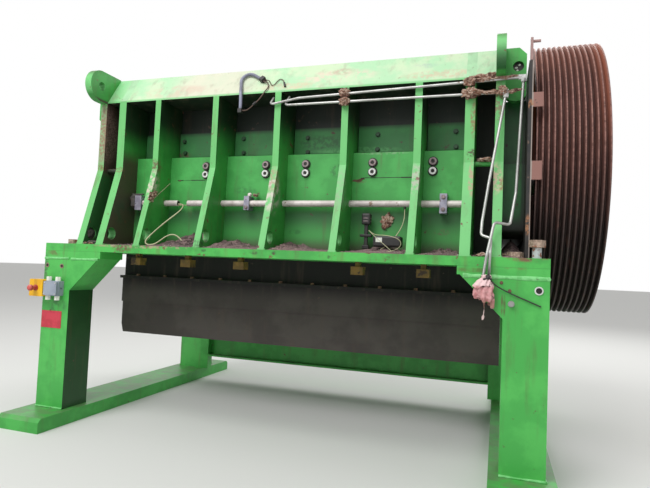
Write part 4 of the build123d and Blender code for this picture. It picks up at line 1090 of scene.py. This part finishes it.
def thickened(piece, thickness, offset):
    """Gives a thin sheet its thickness in millimetres; offset says to which side it grows."""
    only(piece)
    shell = piece.modifiers.new("shell", "SOLIDIFY")
    shell.thickness = thickness * mm
    shell.offset = offset
    bpy.ops.object.modifier_apply(modifier=shell.name)
    return piece


def heap_slope(u, lean):
    """How a heap falls off along its bay, from 1 at its top."""
    return 1 - abs(u - lean) * 1.25


def heap(x0, x1, y0, y1, height, lean, seed, waves=7, crumb=0.25):
    """A low heap of granules between two ribs: highest at the wall, lean moves its top along the bay.

    Waves is how many swells lie across it, crumb how rough they are."""
    piece = primitive(bpy.ops.mesh.primitive_grid_add, x_subdivisions=46, y_subdivisions=22, size=1)
    for corner in piece.data.vertices:
        u, v = corner.co.x + 0.5, corner.co.y + 0.5
        spot = Vector((u * waves + seed, v * 4, seed))
        ruffle = 0.75 + 0.55 * noise.noise(spot) + crumb * noise.noise(spot * 4)
        shape = max(0.3, heap_slope(u, lean)) * (1 - v) ** 1.2
        rise = max(0.4, height * shape * ruffle + 3 * noise.noise(spot * 9) + 4)
        margin = min(1, min(u, 1 - u, 1 - v) * 14)
        corner.co = place(x0 + (x1 - x0) * u, y0 + (y1 - y0) * v, flange_top - 2 + rise * margin + 1)
    return thickened(piece, 2, -1 if y1 > y0 else 1)


# Granules and dirt left in each bay, and two smooth heaps that fill the dark gap under the right bearing:
# each bay's X from and to, height, lean and seed
bays = (
    (-1188, -1094, 60, 0.4, 3.0), (-1040, -826, 40, 0.7, 1.0), (-782, -424, 128, 0.66, 4.3),
    (-380, -22, 84, 0.12, 7.7), (22, 380, 76, 0.08, 11.0), (424, 782, 62, 0.6, 15.1),
    (826, 1040, 56, 0.6, 19.2), (1094, 1188, 40, 0.4, 23.0),
)
wall_y, lip_y, chip_y = -586, -872, -640
heaps = [heap(x0, x1, wall_y, lip_y, height, lean, seed) for x0, x1, height, lean, seed in bays]
heaps += [heap(1228, 1338, -450, edge, 150, 0.5, 31.0, 1.2, 0.04) for edge in (-870, -330)]
grouped("granule_heaps", granules, *heaps)

# Loose chips on the heaps and on the flange
chips = []
for x0, x1, height, lean, seed in bays:
    for _ in range(26):
        u = dice.random()
        size = dice.uniform(3, 9)
        y = dice.uniform(lip_y, chip_y)
        rise = height * max(0.0, heap_slope(u, lean)) * (1 - (wall_y - y) / (wall_y - lip_y)) ** 1.2
        spot = place(x0 + (x1 - x0) * u, y, flange_top + 4 + rise * 0.75)
        chip = primitive(bpy.ops.mesh.primitive_cube_add, size=1, location=spot)
        chip.scale = (size * mm, size * dice.uniform(0.5, 1) * mm, size * 0.4 * mm)
        chip.rotation_euler = (dice.uniform(-0.6, 0.6), dice.uniform(-0.6, 0.6), dice.uniform(0, 3))
        chips.append(baked(chip))
grouped("loose_chips", chip_finish, *chips)

# Packed dirt in the outer wall's drain hole, and pale scraps below it
grouped(
    "recess_dirt", dusty_plate,
    lump((-1208, -790, 1146), (22, 42, 42), 0.3, 1.0), lump((-1150, -800, 1088), (36, 60, 18), 0.5, 5.0),
)
grouped(
    "pale_scraps", crust,
    lump((-1168, -850, 1086), (20, 12, 9), 0.6, 2.0), lump((-1128, -862, 1085), (16, 10, 8), 0.6, 3.0),
    lump((1148, -690, 1581), (36, 18, 10), 0.7, 6.0), lump((1150, -850, 1088), (32, 18, 11), 0.7, 8.0),
)

# Rusty nut and block left on the right end of the flange
grouped(
    "flange_nut", crust, block((1270, -812, flange_top), (1330, -762, flange_top + 30), 4),
    lump((1262, -790, flange_top + 10), (26, 20, 14), 0.5, 2.2),
)


def gathered(stations, columns, rows, hem):
    """Cloth closed round the lines in folds, through stations from its head to its foot.

    Each station is (Z, X, Y, half width, half depth, depth of its folds); hem moves the foot at an angle."""
    piece = primitive(bpy.ops.mesh.primitive_grid_add, x_subdivisions=columns, y_subdivisions=rows, size=1)
    for corner in piece.data.vertices:
        around, down_cloth = corner.co.x + 0.5, (corner.co.y + 0.5) * (len(stations) - 1)
        at = min(int(down_cloth), len(stations) - 2)
        ease = down_cloth - at
        ease = ease * ease * (3 - 2 * ease)
        height, x, y, wide, deep, fold = (a + (b - a) * ease for a, b in zip(stations[at], stations[at + 1]))
        angle = 2 * math.pi * around
        wide_folds = math.sin(9 * angle + 0.5 * down_cloth)
        narrow_folds = math.sin(14 * angle - 0.7 * down_cloth + 1)
        sway = Vector((math.cos(angle), math.sin(angle), down_cloth * 0.5))
        crease = fold * (wide_folds + 0.45 * narrow_folds)
        crease += 5 * noise.noise(sway * 1.7) + 2.5 * noise.noise(sway * 4.1)
        low = max(0.0, 2 * (corner.co.y + 0.5) - 1)
        corner.co = place(
            x + (wide + crease) * math.cos(angle), y + (deep + crease * 0.6) * math.sin(angle),
            height + 5 * noise.noise(sway * 2.3) * min(1, down_cloth) + low * low * hem(angle),
        )
    open_all(piece)
    bpy.ops.mesh.remove_doubles(threshold=touching)
    bpy.ops.mesh.normals_make_consistent(inside=False)
    bpy.ops.object.mode_set(mode="OBJECT")
    bpy.ops.object.shade_smooth()
    return piece


# Rag tied round the open ends of the lines: a skirt drawn to a tail at the right, a flap folded over it,
# and a torn strip that hangs from its middle
skirt = gathered(
    ((992, 1172, -909, 20, 13, 4), (979, 1171, -909, 12, 8, 5), (962, 1168, -911, 24, 16, 6),
     (940, 1163, -913, 37, 21, 6), (916, 1160, -914, 42, 23, 5), (892, 1161, -912, 41, 21, 6),
     (872, 1164, -908, 38, 18, 7)),
    130, 26,
    lambda angle: 20 * max(0, -math.cos(angle)) - 26 * max(0, math.cos(angle)) ** 2 + 7 * math.sin(5 * angle),
)
flap = gathered(
    ((996, 1176, -911, 16, 12, 3), (982, 1174, -912, 14, 11, 4), (966, 1163, -914, 28, 20, 5),
     (948, 1154, -917, 36, 25, 4), (936, 1151, -918, 39, 27, 3)),
    100, 16, lambda angle: 18 * max(0, math.cos(angle)) + 6 * math.sin(4 * angle + 1),
)
strip = primitive(bpy.ops.mesh.primitive_grid_add, x_subdivisions=6, y_subdivisions=40, size=1)
for corner in strip.data.vertices:
    u, v = corner.co.x, corner.co.y + 0.5
    wide = 13 - 5 * v + 6 * math.exp(-((v - 0.86) / 0.07) ** 2) - 5 * math.exp(-((v - 0.72) / 0.06) ** 2)
    twist = 0.5 + 2.4 * v
    sideways = 1163 + 3 * math.sin(4 * v) + u * wide * math.cos(twist)
    corner.co = place(sideways, -904 + u * wide * math.sin(twist), 884 - 98 * v)
only(strip)
bpy.ops.object.shade_smooth()
rag = thickened(joined(skirt, flap, strip), 0.8, 0)
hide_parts("tube_wrap")
finished(rag, "knotted_rag", pink_cloth)
grouped(
    "rag_knot", black_plastic,
    lump((1180, -924, 986), (11, 8, 13), 0.5, 1.0), lump((1170, -926, 976), (13, 7, 6), 0.4, 4.0),
    lump((1188, -916, 974), (8, 10, 8), 0.5, 7.0),
)

# Pale scraps in the pivot hole at the front right
grouped(
    "pivot_hole_scraps", pale_gland,
    lump((1302, -602, 2092), (6, 3, 6), 0.4, 1.0), lump((1286, -602, 2078), (7, 3, 5), 0.4, 2.0),
    lump((1292, -602, 2064), (6, 3, 5), 0.4, 3.0),
)

# Floor and light
floor = primitive(bpy.ops.mesh.primitive_plane_add, size=120, location=(0, 0, -0.0003))
floor.name = "pale_floor"
floor_paint, floor_shader, _ = new_material("pale_floor_paint", 0.9)
floor_shader.inputs["Base Color"].default_value = hex_colour("D8D8D5")
floor.data.materials.append(floor_paint)

world = bpy.data.worlds.new("overcast")
bpy.context.scene.world = world
world.use_nodes = True
sky = world.node_tree.nodes["Background"]
sky.inputs["Color"].default_value = (1, 1, 1, 1)
sky.inputs["Strength"].default_value = 0.62
seen = add_node(world, "ShaderNodeBackground", {"Color": (1, 1, 1, 1), "Strength": 1})
ray = add_node(world, "ShaderNodeLightPath", {})
either = add_node(world, "ShaderNodeMath", {
    "operation": "MAXIMUM", 0: ray.outputs["Is Camera Ray"], 1: ray.outputs["Is Glossy Ray"],
})
choice = add_node(world, "ShaderNodeMixShader", {0: either.outputs[0], 1: sky.outputs[0], 2: seen.outputs[0]})
world.node_tree.links.new(choice.outputs[0], world.node_tree.nodes["World Output"].inputs[0])


def soft_lamp(name, spot, aim, size, power):
    """A large soft lamp that looks at a point."""
    lamp = bpy.data.lights.new(name, "AREA")
    lamp.shape = "DISK"
    lamp.size = size
    lamp.energy = power
    holder = bpy.data.objects.new(name, lamp)
    bpy.context.scene.collection.objects.link(holder)
    holder.location = spot
    holder.rotation_mode = "QUATERNION"
    holder.rotation_quaternion = (Vector(aim) - Vector(spot)).to_track_quat("-Z", "Y")


soft_lamp("high_front_lamp", (-1.5, -5.0, 6.5), (0, 0, 1.3), 5, 420)
soft_lamp("back_lamp", (2.0, 5.5, 6.0), (0, 0, 1.3), 5, 250)

bpy.context.scene.view_settings.view_transform = "Standard"
